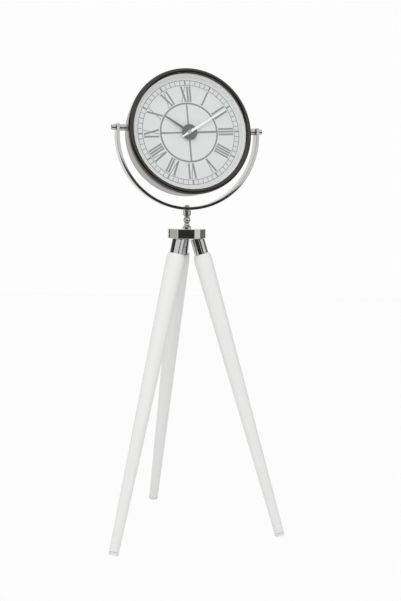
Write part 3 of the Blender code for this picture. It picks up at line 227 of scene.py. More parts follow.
def painted_wood(side):
    """White satin paint: brush-fine streaks along the leg, a little more gloss where it is handled."""
    material, nodes, links, shader = new_finish("painted wood " + side, ior=1.48)
    place = leg_place(side)
    streaks = noise(nodes, links, coordinates(nodes, links, place, (1.0, 1.0, 0.02)), 420.0, 5.0, 0.6)
    cloud = noise(nodes, links, coordinates(nodes, links, place, (1.0, 1.0, 0.25)), 38.0, 3.0)
    surface(nodes, links, shader, streaks, (0.842, 0.842, 0.835), (0.872, 0.872, 0.868), cloud, 0.36, 0.50)
    raise_grain(nodes, links, shader, streaks, 0.30, 0.00006)
    return material


swell = [(top_radius + (widest_radius - top_radius) * math.sin(math.pi / 2 * share),
          leg_top - shoulder * share) for share in (0.0, 0.12, 0.25, 0.4, 0.55, 0.7, 0.85)]
taper_high, taper_low = leg_top - taper_start, -leg_end + pad_thickness + gap
taper = [(widest_radius + (pad_radius - widest_radius) * share,
          taper_high + (taper_low - taper_high) * share)
         for share in (0.0, 0.04, 0.1, 0.2, 0.35, 0.5, 0.65, 0.8, 0.93, 1.0)]
for side in leg_turns:
    leg = spun([(0.0, leg_top), *swell, *taper, (0.0, taper_low)])
    ease(leg, 0.0004, segments=3)
    fit("turned_leg_" + side, leg, leg_place(side), painted_wood(side), side + "_leg",
        ["leg_" + side])


# Ferrules.
# Turned steel barrels with polished chrome plate, one on the top of each leg, joined to it by a bolt.
# A flat tongue on each goes up into the hub's slot, and a pin across the slot carries it.
ferrule_radius = 0.0093
ferrule_end = -0.0269
barrel_top = 0.0051
leg_fold = math.radians(14.0)
tongue_radius, tongue_width, tongue_reach = 0.0045, 0.006, 0.0096


def pull(shape, faces, offset):
    """Extrude faces, move the new ones, and give back the faces at their end."""
    made = bmesh.ops.extrude_face_region(shape, geom=faces)
    bmesh.ops.translate(shape, vec=offset, verts=[item for item in made["geom"]
                                                  if isinstance(item, bmesh.types.BMVert)])
    return [item for item in made["geom"] if isinstance(item, bmesh.types.BMFace)]


def polished(name, place, colour, low=0.03, high=0.075, lines=0.05, warm=None, edge=1.0):
    """Polished plate on a turned piece: faint rings from the lathe, and soft marks from handling."""
    material, nodes, links, shader = new_finish(name, metallic=1.0)
    shader.inputs["Specular Tint"].default_value = (edge, edge * 0.985, edge * 0.97, 1.0)
    vector = coordinates(nodes, links, place)
    cloud = noise(nodes, links, vector, 55.0, 4.0, 0.55)
    dull = warm or tuple(part * 0.965 for part in colour)
    surface(nodes, links, shader, cloud, dull, colour, cloud, high, low)
    parts = nodes.new("ShaderNodeSeparateXYZ")
    links.new(vector, parts.inputs["Vector"])
    flat = nodes.new("ShaderNodeCombineXYZ")
    links.new(parts.outputs["X"], flat.inputs["X"])
    links.new(parts.outputs["Y"], flat.inputs["Y"])
    across = nodes.new("ShaderNodeVectorMath")
    across.operation = "LENGTH"
    links.new(flat.outputs["Vector"], across.inputs[0])
    turned = nodes.new("ShaderNodeCombineXYZ")
    links.new(across.outputs["Value"], turned.inputs["X"])
    links.new(parts.outputs["Z"], turned.inputs["Z"])
    rings = noise(nodes, links, turned.outputs["Vector"], 2600.0, 2.0)
    raise_grain(nodes, links, shader, rings, lines, 0.00002)
    return material


chrome_colour = (0.55, 0.556, 0.554)
for side in leg_turns:
    place = leg_place(side)
    ferrule_chrome = polished("ferrule chrome " + side, place, chrome_colour)
    barrel = ring(0.0, ferrule_radius, ferrule_end, 0.0)
    for lean in (leg_lean, leg_lean - leg_fold):
        level = Matrix.Rotation(lean, 4, "Y") @ Vector((0, 0, 1))
        slice_off(barrel, level * -barrel_top, level)
    ease(barrel, 0.0004, sharper_than=12.0, segments=3)
    fit("ferrule_barrel_" + side, barrel, place, ferrule_chrome, side + "_leg",
        ["ferrule_" + side])

    tongue = bmesh.new()
    bmesh.ops.create_circle(tongue, cap_ends=True, radius=tongue_radius, segments=64,
                            matrix=Matrix.Rotation(math.pi / 2, 4, "X"))
    bmesh.ops.translate(tongue, vec=(0, tongue_width / 2, 0), verts=tongue.verts)
    for corner in tongue.verts:
        if corner.co.z < 0:
            corner.co.z -= tongue_reach
    pull(tongue, tongue.faces[:], (0, -tongue_width, 0))
    bmesh.ops.recalc_face_normals(tongue, faces=tongue.faces)
    ease(tongue, 0.0003)
    fit("ferrule_tongue_" + side, tongue, place, ferrule_chrome, side + "_leg",
        ["ferrule_" + side])


# Hub.
# A turned steel disc, chromed, slotted underneath for the three legs.
# A plate with three screws closes it from below and keeps the legs' pins in their grooves.
hub_place = tripod @ Matrix.Translation((0.0, 0.0, 0.4056))
hub_radius = 0.0255
hub_height = 0.0128
keeper_radius, keeper_thickness = 0.022, 0.003
bolt_bore = 0.0023
screw_circle = 0.0155
hub_chrome = polished("hub chrome", hub_place, chrome_colour)
zinc_colour = (0.52, 0.525, 0.53)


def hardware(name):
    """Zinc-plated hardware: a grey, slightly clouded plate over fine tool marks."""
    material, nodes, links, shader = new_finish(name, metallic=1.0)
    vector = coordinates(nodes, links)
    cloud = noise(nodes, links, vector, 140.0, 5.0, 0.6)
    marks = noise(nodes, links, coordinates(nodes, links, stretch=(1.0, 1.0, 0.15)), 2200.0, 2.0)
    dull = tuple(part * 0.82 for part in zinc_colour)
    surface(nodes, links, shader, cloud, dull, zinc_colour, cloud, 0.42, 0.24)
    raise_grain(nodes, links, shader, marks, 0.25, 0.00002)
    return material


def block(low, high, place=Matrix.Identity(4)):
    """A rectangular block between two corners of a frame."""
    low, high = Vector(low), Vector(high)
    shape = bmesh.new()
    bmesh.ops.create_cube(shape, size=1.0)
    bmesh.ops.scale(shape, vec=high - low, verts=shape.verts)
    bmesh.ops.translate(shape, vec=(low + high) / 2, verts=shape.verts)
    shape.transform(place)
    return shape


def drill(radius, low, high, place=Matrix.Identity(4), segments=48):
    """A round bar along Z, used as the cutter for a hole."""
    shape = bmesh.new()
    bmesh.ops.create_cone(shape, cap_ends=True, segments=segments, radius1=radius, radius2=radius,
                          depth=high - low)
    bmesh.ops.translate(shape, vec=(0, 0, (low + high) / 2), verts=shape.verts)
    shape.transform(place)
    return shape


def cut(shape, tools, operation="DIFFERENCE"):
    """Take the tools' shapes out of a shape, or join them on, and give back the result."""
    body = as_object("held shape", shape)
    held = [as_object("held shape", tool) for tool in tools]
    for tool in held:
        change = body.modifiers.new("Cut", "BOOLEAN")
        change.object, change.operation, change.solver = tool, operation, "EXACT"
    bpy.context.view_layer.update()
    result = bpy.data.meshes.new_from_object(body.evaluated_get(bpy.context.evaluated_depsgraph_get()))
    shape = bmesh.new()
    shape.from_mesh(result)
    bmesh.ops.remove_doubles(shape, verts=shape.verts, dist=1e-6)
    bmesh.ops.dissolve_degenerate(shape, edges=shape.edges, dist=1e-6)
    for used in [body, *held]:
        bpy.data.objects.remove(used, do_unlink=True)
    return shape


hub = spun([(bolt_bore, hub_height), (hub_radius, hub_height), (hub_radius, 0.0),
            (keeper_radius + gap, 0.0), (keeper_radius + gap, keeper_thickness + gap),
            (bolt_bore, keeper_thickness + gap)], steps=128, closed=True)
ease(hub, 0.0006, segments=4)
keeper = ring(0.0045, keeper_radius, 0.0, keeper_thickness, 128)
ease(keeper, 0.0003)
slots, screw_holes, head_holes, screw_places = [], [], [], {}
for side, leg_turn in leg_turns.items():
    turn = Matrix.Rotation(leg_turn, 4, "Z")
    slots.append(block((0.00735, -0.0033, -0.002), (0.0195, 0.0033, 0.0099), turn))
    place = turn @ Matrix.Rotation(math.radians(60), 4, "Z") @ Matrix.Translation((screw_circle, 0, 0))
    screw_places[side] = place
    screw_holes.append(drill(0.0017, -0.002, 0.0078, place, 32))
    head_holes.append(drill(0.0029, -0.002, 0.0022, place, 32))
hub = cut(hub, [slot.copy() for slot in slots] + [hole.copy() for hole in screw_holes])
keeper = cut(keeper, slots + screw_holes + head_holes)
fit("hub_turned_disc", hub, hub_place, hub_chrome, "tripod_hub", ["hub_disc"])
hub_zinc = hardware("hub zinc plate")
fit("hub_keeper", keeper, hub_place, hub_zinc, "tripod_hub", ["keeper_plate"])
for side, place in screw_places.items():
    screw = spun([(0.0, 0.0075), (0.0014, 0.0075), (0.0014, 0.0019), (0.0026, 0.0019), (0.0026, 0.0003),
                  (0.0, 0.0003)], steps=32)
    screw = cut(screw, [block((-0.003, -0.0004, -0.001), (0.003, 0.0004, 0.0011))])
    ease(screw, 0.00012)
    fit("keeper_screw_head_" + side, screw, hub_place @ place, hub_zinc, "tripod_hub",
        ["keeper_screw_" + side])
bolt = spun([(0.0, 0.4494), (0.0020, 0.4494), (0.0020, 0.4086), (0.0042, 0.4086), (0.0042, 0.4059),
             (0.0, 0.4059)], steps=48)
bolt = cut(bolt, [drill(0.0018, 0.4036, 0.4071, segments=6)])
ease(bolt, 0.0002)
fit("stem_bolt", bolt, tripod, hub_zinc, "tripod_hub", ["centre_bolt"])


# Stem.
# Three chromed beads turned from bar, stacked on the bolt: a flared foot, a ball and a straight neck.
# A black washer under the neck lets the yoke and the clock turn on the tripod.
stem_chrome = polished("stem chrome", tripod, chrome_colour)
waist, ball_radius, ball_middle = 0.0032, 0.0048, 0.4301


def curve(middle, width, height, first, last, steps):
    """Points of (radius, height) along a round or oval corner, between two angles."""
    angles = [first + (last - first) * step / steps for step in range(steps + 1)]
    return [(middle[0] + width * math.cos(angle), middle[1] + height * math.sin(angle)) for angle in angles]


foot_radius = 0.0059
foot_flare = [(waist + (foot_radius - waist) * (1 - math.sin(math.pi / 2 * share)) ** 0.9,
               0.4207 + 0.0044 * share) for share in (0.0, 0.15, 0.3, 0.45, 0.6, 0.8, 1.0)]
stem_foot = spun([(bolt_bore, 0.4251), *reversed(foot_flare), (foot_radius, 0.4187), (bolt_bore, 0.4187)],
                 closed=True)
ease(stem_foot, 0.0003, sharper_than=30.0, segments=3)
fit("stem_flared_foot", stem_foot, tripod, stem_chrome, "tripod_hub", ["stem_base"])
ball_turn = math.acos(waist / ball_radius)
ball = spun([(bolt_bore, 0.4348), (waist, 0.4348),
             *curve((0.0, ball_middle), ball_radius, ball_radius, ball_turn, -ball_turn, 24),
             (waist, 0.4254), (bolt_bore, 0.4254)], closed=True)
ease(ball, 0.0002, segments=3)
fit("stem_turned_ball", ball, tripod, stem_chrome, "tripod_hub", ["stem_ball"])
washer_black = moulded("washer black", (0.024, 0.024, 0.025), (0.034, 0.034, 0.035), 0.35, 0.5, 1500.0)
washer = ring(bolt_bore, 0.0043, 0.4351, 0.4359, 64)
ease(washer, 0.00015, segments=3)
fit("swivel_washer_ring", washer, tripod, washer_black, "tripod_hub", ["swivel_washer"])
neck_satin = polished("neck satin", tripod, chrome_colour, 0.20, 0.27)
neck = ring(bolt_bore, 0.0053, 0.4362, 0.4433)
ease(neck, 0.0005, segments=4)
fit("stem_turned_neck", neck, tripod, neck_satin, "yoke", ["stem_neck"])
nut_curve = curve((0.0, 0.4479), 0.0038, 0.0024, 0.0, math.pi / 2, 10)
nut = spun([(0.0, 0.4497), (bolt_bore, 0.4497), (bolt_bore, 0.4479), *nut_curve[:-1], (0.0, 0.4503)],
           steps=64)
ease(nut, 0.0002, sharper_than=60.0, segments=3)
fit("yoke_dome_nut", nut, tripod, stem_chrome, "tripod_hub", ["yoke_nut"])


# Yoke.
# One flat steel strap, edges eased, bent to a half circle and chromed, its ends drilled for the studs.
yoke_outside, yoke_inside, strap_width = 0.0984, 0.0944, 0.015
yoke_centre = 0.542
end_length = 0.0128
pivot_height = 0.55
strap = bmesh.new()
bmesh.ops.create_grid(strap, x_segments=1, y_segments=1, size=0.5)
bmesh.ops.scale(strap, vec=(yoke_outside - yoke_inside, strap_width, 1.0), verts=strap.verts)
bevel(strap, strap.verts[:], 0.0004, 4, "VERTICES")
bmesh.ops.translate(strap, vec=(-(yoke_outside + yoke_inside) / 2, 0, yoke_centre + end_length),
                    verts=strap.verts)
end = pull(strap, strap.faces[:], (0, 0, -end_length))
bent = bmesh.ops.spin(strap, geom=end, cent=(0, 0, yoke_centre), axis=(0, 1, 0), dvec=(0, 0, 0),
                      angle=-math.pi, steps=128, use_merge=False)
end = [item for item in bent["geom_last"] if isinstance(item, bmesh.types.BMFace)]
pull(strap, end, (0, 0, end_length))
bmesh.ops.remove_doubles(strap, verts=strap.verts, dist=1e-7)
bmesh.ops.recalc_face_normals(strap, faces=strap.faces)
across_x = Matrix.Translation((0, 0, pivot_height)) @ Matrix.Rotation(math.pi / 2, 4, "Y")
strap = cut(strap, [drill(bolt_bore, -0.11, 0.11, across_x), drill(bolt_bore, 0.44, 0.455)])
bend = tripod @ Matrix.Translation((0, 0, yoke_centre)) @ Matrix.Rotation(math.pi / 2, 4, "X")
yoke_chrome = polished("yoke chrome", bend, chrome_colour)
fit("yoke_bent_strap", strap, tripod, yoke_chrome, "yoke", ["yoke_strap"])


# Pivots.
# A stud out of each side of the case passes a turned spacer and the strap's end.
# A knurled thumb nut outside clamps the clock at any tilt.
head_tilt = math.radians(9.8)
pivots = tripod @ Matrix.Translation((0, 0, pivot_height))
head_place = pivots @ Matrix.Rotation(math.pi / 2 - head_tilt, 4, "X")
knob_radius, teeth_low, teeth_high = 0.0037, 0.0995, 0.10305
for side, direction in (("left", -1), ("right", 1)):
    place = head_place @ Matrix.Rotation(direction * math.pi / 2, 4, "Y")
    pivot_chrome = polished("pivot chrome " + side, place, chrome_colour)
    spacer_satin = polished("spacer satin " + side, place, chrome_colour, 0.26, 0.34)
    spacer = spun([(bolt_bore, 0.0941), (0.0045, 0.0941), (0.0045, 0.0843), (0.0056, 0.0843),
                   (0.0056, 0.0813), (bolt_bore, 0.0813)], steps=64, closed=True)
    ease(spacer, 0.0004, segments=3)
    fit("spacer_collar_" + side, spacer, place, spacer_satin, "clock_head",
        ["pivot_spacer_" + side])
    dome = curve((0.0, 0.1035), knob_radius, 0.0012, 0.0, math.pi / 2, 8)
    knob = spun([(0.0, 0.1035), (bolt_bore, 0.1035), (bolt_bore, 0.0987), (0.0034, 0.0987),
                 (knob_radius, 0.0990), (knob_radius, teeth_low), (knob_radius, teeth_high), *dome[:-1],
                 (0.0, 0.1047)], steps=72)
    for corner in knob.verts:
        tooth = round(math.degrees(math.atan2(corner.co.y, corner.co.x)) / 5)
        knurled = teeth_low - 0.0001 < corner.co.z < teeth_high + 0.0001
        if tooth % 2 and knurled and corner.co.xy.length > 0.0036:
            corner.co.xy *= 0.955
    fit("knurled_knob_" + side, knob, place, pivot_chrome, side + "_knob",
        ["pivot_knob_" + side], smooth_below=50.0)


# Case.
# A deep drum spun from sheet steel and chromed, rolled in at the back to seat the cover.
# A ledge inside it carries the dial.
dial_place = head_place @ Matrix.Translation((0, -0.0047, 0))
case_chrome = polished("case chrome", dial_place, chrome_colour, lines=0.08, edge=0.62)
roll, seat_front = (0.076, -0.0230), -0.0252
outer_corner = curve(roll, 0.005, 0.005, 0.0, -math.pi / 2, 10)
inner_corner = [(radius, max(height, seat_front))
                for radius, height in curve(roll, 0.0038, 0.0038, -math.pi / 2, 0.0, 10)[1:]]
drum = spun([(0.0798, 0.0100), (0.0810, 0.0100), *outer_corner, (0.0660, -0.0280), (0.0660, -0.0264),
             (0.0580, -0.0264), (0.0580, seat_front), *inner_corner, (0.0798, 0.0014), (0.0740, 0.0014),
             (0.0740, 0.0026), (0.0798, 0.0026)], steps=160, closed=True)
ease(drum, 0.0002)
fit("case_drum", drum, dial_place, case_chrome, "clock_head", ["case_shell"])


# Bezel.
# A half-round ring pressed over the drum's front edge, plated near black and polished.
# Its lip holds the glass.
bezel_plate = polished("bezel dark plate", dial_place, (0.064, 0.061, 0.058), 0.045, 0.09, 0.04,
                       warm=(0.070, 0.065, 0.060))
bezel_round = 0.0036
lip_turn = math.pi - math.asin(0.0005 / bezel_round)
crown = curve((0.0806, 0.0120), bezel_round, bezel_round, lip_turn, 0.0, 28)
bezel = spun([*crown, (0.0842, 0.0063), (0.0813, 0.0063), (0.0813, 0.0103), (0.0788, 0.0103),
              (0.0788, 0.0125)], steps=192, closed=True)
ease(bezel, 0.0003, sharper_than=50.0)
fit("bezel_ring", bezel, dial_place, bezel_plate, "clock_head", ["bezel"])


# Glass.
# A flat clear pane with ground edges, held under the bezel's lip.
def clear_pane():
    """Nearly all clear: what little it keeps back is a mirror, with finger-soft marks in it."""
    material, nodes, links, shader = new_finish("clear pane", metallic=1.0)
    vector = coordinates(nodes, links, dial_place)
    cloud = noise(nodes, links, vector, 22.0, 4.0)
    surface(nodes, links, shader, cloud, (0.93, 0.96, 0.95), (0.96, 0.98, 0.975), cloud, 0.012, 0.03)
    links.new(between(nodes, links, cloud, 0.065, 0.080), shader.inputs["Alpha"])
    return material


pane = ring(0.0, 0.0785, 0.0102, 0.0122, 160)
ease(pane, 0.0003, segments=3)
fit("clear_pane", pane, dial_place, clear_pane(), "clock_head", ["glass"])


# Inner rim.
# A painted ring between the glass and the dial, sloped inwards.
def satin_enamel(name, first, second):
    """Sprayed silver-white enamel: very fine speckle and a slow unevenness."""
    material, nodes, links, shader = new_finish(name)
    vector = coordinates(nodes, links, dial_place)
    cloud = noise(nodes, links, vector, 30.0, 3.0)
    speckle = noise(nodes, links, vector, 2400.0, 2.0)
    surface(nodes, links, shader, cloud, first, second, speckle, 0.34, 0.46)
    raise_grain(nodes, links, shader, speckle, 0.12, 0.00002)
    return material


dial_radius = 0.0793
rim_enamel = satin_enamel("inner rim enamel", (0.845, 0.850, 0.845), (0.865, 0.870, 0.865))
rim = spun([(0.0773, 0.0099), (dial_radius, 0.0099), (dial_radius, 0.0042), (0.0750, 0.0042)],
           steps=160, closed=True)
ease(rim, 0.00025, sharper_than=20.0, segments=3)
fit("sloped_rim", rim, dial_place, rim_enamel, "clock_head", ["inner_rim"])


# Dial.
# A flat disc in the same enamel, held by the nut at its centre and sitting a little turned in the case.
# Printed on it: a ring with four spokes, Roman hours read from the middle, and a minute track.
dial_turn = Matrix.Rotation(math.radians(3.2), 4, "Z")
dial_enamel = satin_enamel("dial enamel", (0.750, 0.757, 0.762), (0.774, 0.781, 0.786))
dial_front, dial_back, bush_bore = 0.0039, 0.0029, 0.0038
disc = ring(bush_bore, dial_radius, dial_back, dial_front, 160)
ease(disc, 0.00015)
fit("dial_disc", disc, dial_place, dial_enamel, "clock_head", ["dial_plate"])


def printing_ink(name, first, second):
    """Screen-printed ink: a fine speckle, and a gloss that drifts slowly."""
    material, nodes, links, shader = new_finish(name, ior=1.45)
    vector = coordinates(nodes, links, dial_place)
    speckle = noise(nodes, links, vector, 1800.0, 3.0, 0.6)
    cloud = noise(nodes, links, vector, 60.0, 3.0)
    surface(nodes, links, shader, speckle, first, second, cloud, 0.40, 0.52)
    raise_grain(nodes, links, shader, speckle, 0.10, 0.00001)
    return material


dial_ink = printing_ink("dial ink", (0.175, 0.182, 0.180), (0.215, 0.222, 0.220))
print_line = 0.00003


def stroke(shape, turn, foot, head, width, height):
    """One printed stroke between two points of a numeral, its ends level with the numeral's base."""
    slant = Matrix(((width, head[0] - foot[0], 0, (foot[0] + head[0]) / 2),
                    (0, head[1] - foot[1], 0, (foot[1] + head[1]) / 2),
                    (0, 0, height, dial_front + height / 2), (0, 0, 0, 1)))
    bmesh.ops.create_cube(shape, size=1.0, matrix=Matrix.Rotation(-turn, 4, "Z") @ slant)


def print_ring(shape, radius, width):
    """A thin printed circle."""
    line = ring(radius - width / 2, radius + width / 2, dial_front, dial_front + print_line, 160)
    mesh = bpy.data.meshes.new("printed ring")
    line.to_mesh(mesh)
    line.free()
    shape.from_mesh(mesh)


hour_low, hour_high, serif = 0.0413, 0.0618, 0.0006
letter_widths = {"I": 0.0034, "V": 0.0082, "X": 0.0086}
wide_set = {"II": 0.0070, "III": 0.0037}
# Each letter's strokes: where the foot and the head stand, how wide the stroke is, and its serifs.
letter_strokes = {
    "I": [(0.0, 0.0, 0.0023, 0.0036, 0.0036)],
    "V": [(0.0002, -0.0026, 0.0026, 0.0, 0.0042), (0.0006, 0.0030, 0.0009, 0.0, 0.0026)],
    "X": [(0.0027, -0.0027, 0.0026, 0.0040, 0.0040), (-0.0029, 0.0029, 0.0009, 0.0026, 0.0026)],
}
hours = ["XII", "I", "II", "III", "IIII", "V", "VI", "VII", "VIII", "IX", "X", "XI"]
numerals = bmesh.new()
for hour, letters in enumerate(hours):
    turn = math.radians(30 * hour)
    widths = [wide_set.get(letters, letter_widths[letter]) for letter in letters]
    left = -sum(widths) / 2
    for letter, letter_width in zip(letters, widths):
        middle = left + letter_width / 2
        left += letter_width
        for foot, head, width, foot_serif, head_serif in letter_strokes[letter]:
            layer = print_line * (1.0 if width > 0.001 else 0.85)
            stroke(numerals, turn, (middle + foot, hour_low), (middle + head, hour_high), width, layer)
            if foot_serif:
                stroke(numerals, turn, (middle + foot, hour_low), (middle + foot, hour_low + serif),
                       foot_serif, print_line * 0.7)
            stroke(numerals, turn, (middle + head, hour_high - serif), (middle + head, hour_high),
                   head_serif, print_line * 0.7)
fit("printed_hours", numerals, dial_place @ dial_turn, dial_ink, "clock_head")

track = bmesh.new()
for radius, width in ((0.0390, 0.0023), (0.0636, 0.0008), (0.0699, 0.0008)):
    print_ring(track, radius, width)
for minute in range(60):
    broad = 0.0021 if minute % 5 == 0 else 0.0008
    stroke(track, math.radians(6 * minute), (0.0, 0.0637), (0.0, 0.0698), broad, print_line * 0.8)
for quarter, width in ((0, 0.0021), (1, 0.0028), (2, 0.0024), (3, 0.0024)):
    stroke(track, math.radians(90 * quarter), (0.0, 0.0077), (0.0, 0.0384), width, print_line * 0.8)
fit("printed_ring_and_track", track, dial_place @ dial_turn, dial_ink, "clock_head")


# Rear cover.
# A moulded black plate let into the back of the drum, with a window over the clock's movement.
# Three domed screws with cross recesses hold it to the drum's rolled seat.
cover_black = moulded("rear cover black", (0.026, 0.026, 0.028), (0.036, 0.036, 0.038), 0.44, 0.60, 1100.0)


def round_corners(shape, radius, segments):
    """Round the four upright edges of a block."""
    upright = [edge for edge in shape.edges if abs(edge.verts[0].co.z - edge.verts[1].co.z) > 0.001]
    bevel(shape, upright, radius, segments)


cover = ring(0.0, 0.0657, -0.0280, -0.0267, 160)
ease(cover, 0.0004, segments=3)
window = block((-0.030, -0.032, -0.0305), (0.030, 0.030, -0.0245))
round_corners(window, 0.0003, 3)
grooves = [ring(radius - 0.0003, radius + 0.0003, -0.0290, -0.0276, 160) for radius in (0.0470, 0.0560)]
cover_circle = 0.062
cover_places = [Matrix.Translation((cover_circle * math.cos(angle), cover_circle * math.sin(angle), 0))
                for angle in map(math.radians, (90.0, 210.0, 330.0))]
holes = [drill(0.0017, -0.0305, -0.0245, place, 32) for place in cover_places]
cover = cut(cover, [window, *grooves, *holes])
fit("rear_cover_plate", cover, dial_place, cover_black, "clock_head", ["rear_cover"])
screw_zinc = hardware("cover screw zinc")
for number, place in enumerate(cover_places, 1):
    head_curve = curve((0.0, -0.0283), 0.0028, -0.0012, 0.0, math.pi / 2, 8)
    screw = spun([(0.0, -0.0243), (0.0014, -0.0243), (0.0014, -0.0283), *head_curve[:-1], (0.0, -0.0295)],
                 steps=40)
    screw = cut(screw, [block((-0.0016, -0.0003, -0.0300), (0.0016, 0.0003, -0.0287)),
                        block((-0.0003, -0.0016, -0.0300), (0.0003, 0.0016, -0.0287))])
    fit("cover_screw_head_%d" % number, screw, dial_place @ place, screw_zinc, "clock_head",
        ["cover_screw_%d" % number])


# Movement.
# A battery movement in a black moulded box: its lid holds the wheels, and the cell lies in its own bay.
# The set knob on its back moves both hands.
movement_black = moulded("movement black", (0.020, 0.020, 0.021), (0.029, 0.029, 0.030), 0.38, 0.52, 1400.0)
housing = block((-0.028, -0.030, -0.015), (0.028, 0.028, 0.001))
round_corners(housing, 0.0012, 5)
ease(housing, 0.0003, sharper_than=60.0)
housing = cut(housing, [drill(0.0035, -0.0004, 0.0064)], "UNION")
housing = cut(housing, [block((-0.0265, -0.0125, -0.017), (0.0265, 0.0265, -0.0005)),
                        block((-0.0265, -0.0285, -0.017), (0.0265, -0.0137, -0.0005)),
                        drill(0.0029, -0.0025, 0.0084)])
fit("movement_box", housing, dial_place, movement_black, "clock_head",
    ["movement_housing"])
setting_axis = Matrix.Translation((0.0088388, 0.0088388, 0))
lid = block((-0.0262, -0.0122, -0.015), (0.0262, 0.0262, -0.0135))
ease(lid, 0.0003, sharper_than=60.0)
ejector_marks = [drill(0.0016, -0.0152, -0.0149, Matrix.Translation(spot), 32)
                 for spot in ((x, y, 0) for y in (0.021, -0.007) for x in (-0.021, 0.021))]
lid = cut(lid, [drill(0.0016, -0.017, -0.012), drill(0.0015, -0.017, -0.012, setting_axis), *ejector_marks])
fit("movement_back", lid, dial_place, movement_black, "clock_head", ["movement_lid"])

cell_place = dial_place @ Matrix.Translation((0, -0.0211, -0.0079)) @ Matrix.Rotation(math.pi / 2, 4, "Y")


def cell_sleeve():
    """Blue printed film round the cell, a pale band by its raised end, and bare metal at both ends."""
    material, nodes, links, shader = new_finish("battery sleeve", metallic=0.35)
    vector = coordinates(nodes, links, cell_place)
    cloud = noise(nodes, links, vector, 80.0, 3.0)
    film = shade(nodes, links, cloud, (0.085, 0.19, 0.41), (0.105, 0.225, 0.46))
    parts = nodes.new("ShaderNodeSeparateXYZ")
    links.new(vector, parts.inputs["Vector"])
    bands = nodes.new("ShaderNodeValToRGB")
    bands.color_ramp.interpolation = "CONSTANT"
    stops = bands.color_ramp.elements
    stops[0].position, stops[0].color = 0.0, (0.62, 0.62, 0.61, 1.0)
    stops[1].position, stops[1].color = 0.02, (0.0, 0.0, 0.0, 1.0)
    for position, grey in ((0.80, 0.70), (0.93, 0.0), (0.975, 0.62)):
        stop = stops.new(position)
        stop.color = (grey, grey, grey, 1.0)
    links.new(between(nodes, links, parts.outputs["Z"], 0.0, 1.0, -0.02445, 0.02545), bands.inputs["Fac"])
    light = nodes.new("ShaderNodeMix")
    light.data_type = "RGBA"
    light.blend_type = "LIGHTEN"
    light.inputs["Factor"].default_value = 1.0
    links.new(film, light.inputs[6])
    links.new(bands.outputs["Color"], light.inputs[7])
    links.new(light.outputs[2], shader.inputs["Base Color"])
    links.new(between(nodes, links, cloud, 0.22, 0.34), shader.inputs["Roughness"])
    return material


cell = spun([(0.0, 0.02545), (0.0027, 0.02545), (0.0027, 0.02445), (0.0062, 0.02445), (0.0062, 0.02425),
             (0.0071, 0.02425), (0.0071, -0.02425), (0.0062, -0.02425), (0.0062, -0.02445), (0.0, -0.02445)],
            steps=64)
ease(cell, 0.0002)
fit("battery_cell", cell, cell_place, cell_sleeve(), "clock_head", ["battery"])

knob_place = dial_place @ setting_axis
set_black = moulded("set knob black", (0.024, 0.024, 0.025), (0.033, 0.033, 0.034), 0.40, 0.55, 1600.0)
knob = spun([(0.0, -0.0193), (0.0050, -0.0193), (0.0050, -0.0189), (0.0050, -0.0157), (0.0050, -0.0153),
             (0.0015, -0.0153), (0.0015, -0.0186), (0.0, -0.0186)])
for corner in knob.verts:
    tooth = round(math.degrees(math.atan2(corner.co.y, corner.co.x)) / 3.75)
    if tooth % 4 in (0, 1) and corner.co.xy.length > 0.0049:
        corner.co.xy *= 0.94
ease(knob, 0.00015, sharper_than=55.0)
fit("time_set_knob", knob, knob_place, set_black, "time_setter", ["set_knob"],
    smooth_below=30.0)


def worked_brass(name, place):
    """Stamped or turned brass: warm, brushed, a little darker where it has been handled."""
    material, nodes, links, shader = new_finish(name, metallic=1.0)
    vector = coordinates(nodes, links, place)
    cloud = noise(nodes, links, vector, 120.0, 4.0, 0.6)
    brushed = noise(nodes, links, coordinates(nodes, links, place, (1.0, 0.05, 1.0)), 2600.0, 3.0)
    surface(nodes, links, shader, cloud, (0.62, 0.45, 0.20), (0.78, 0.61, 0.32), brushed, 0.20, 0.36)
    raise_grain(nodes, links, shader, brushed, 0.20, 0.00002)
    return material


brass = worked_brass("brass", dial_place)
washer = ring(bush_bore, 0.0075, 0.0042, 0.0046, 72)
ease(washer, 0.0001)
fit("dial_washer", washer, dial_place, brass, "clock_head", ["bush_washer"])
nut = drill(0.0052, 0.0049, 0.0064, segments=6)
ease(nut, 0.0002)
nut = cut(nut, [drill(bush_bore, 0.004, 0.007)])
fit("dial_nut", nut, dial_place, brass, "clock_head", ["bush_nut"])


def soft_rubber():
    """Dull black rubber with a slight bloom."""
    material, nodes, links, shader = new_finish("gasket rubber", ior=1.52)
    vector = coordinates(nodes, links)
    cloud = noise(nodes, links, vector, 160.0, 4.0)
    surface(nodes, links, shader, cloud, (0.032, 0.032, 0.031), (0.048, 0.048, 0.046), cloud, 0.72, 0.86)
    raise_grain(nodes, links, shader, noise(nodes, links, vector, 1500.0), 0.3, 0.00005)
    return material


def wound_copper():
    """Enamelled wire wound in close turns along the coil."""
    material, nodes, links, shader = new_finish("coil winding", metallic=1.0)
    vector = coordinates(nodes, links, dial_place)
    turns = nodes.new("ShaderNodeTexWave")
    turns.bands_direction = "X"
    turns.inputs["Scale"].default_value = 900.0
    turns.inputs["Distortion"].default_value = 0.6
    links.new(vector, turns.inputs["Vector"])
    links.new(shade(nodes, links, turns.outputs["Fac"], (0.36, 0.13, 0.06), (0.66, 0.32, 0.18), 0.1, 0.9),
              shader.inputs["Base Color"])
    cloud = noise(nodes, links, vector, 200.0)
    links.new(between(nodes, links, cloud, 0.28, 0.42), shader.inputs["Roughness"])
    raise_grain(nodes, links, shader, turns.outputs["Fac"], 0.5, 0.00008)
    return material


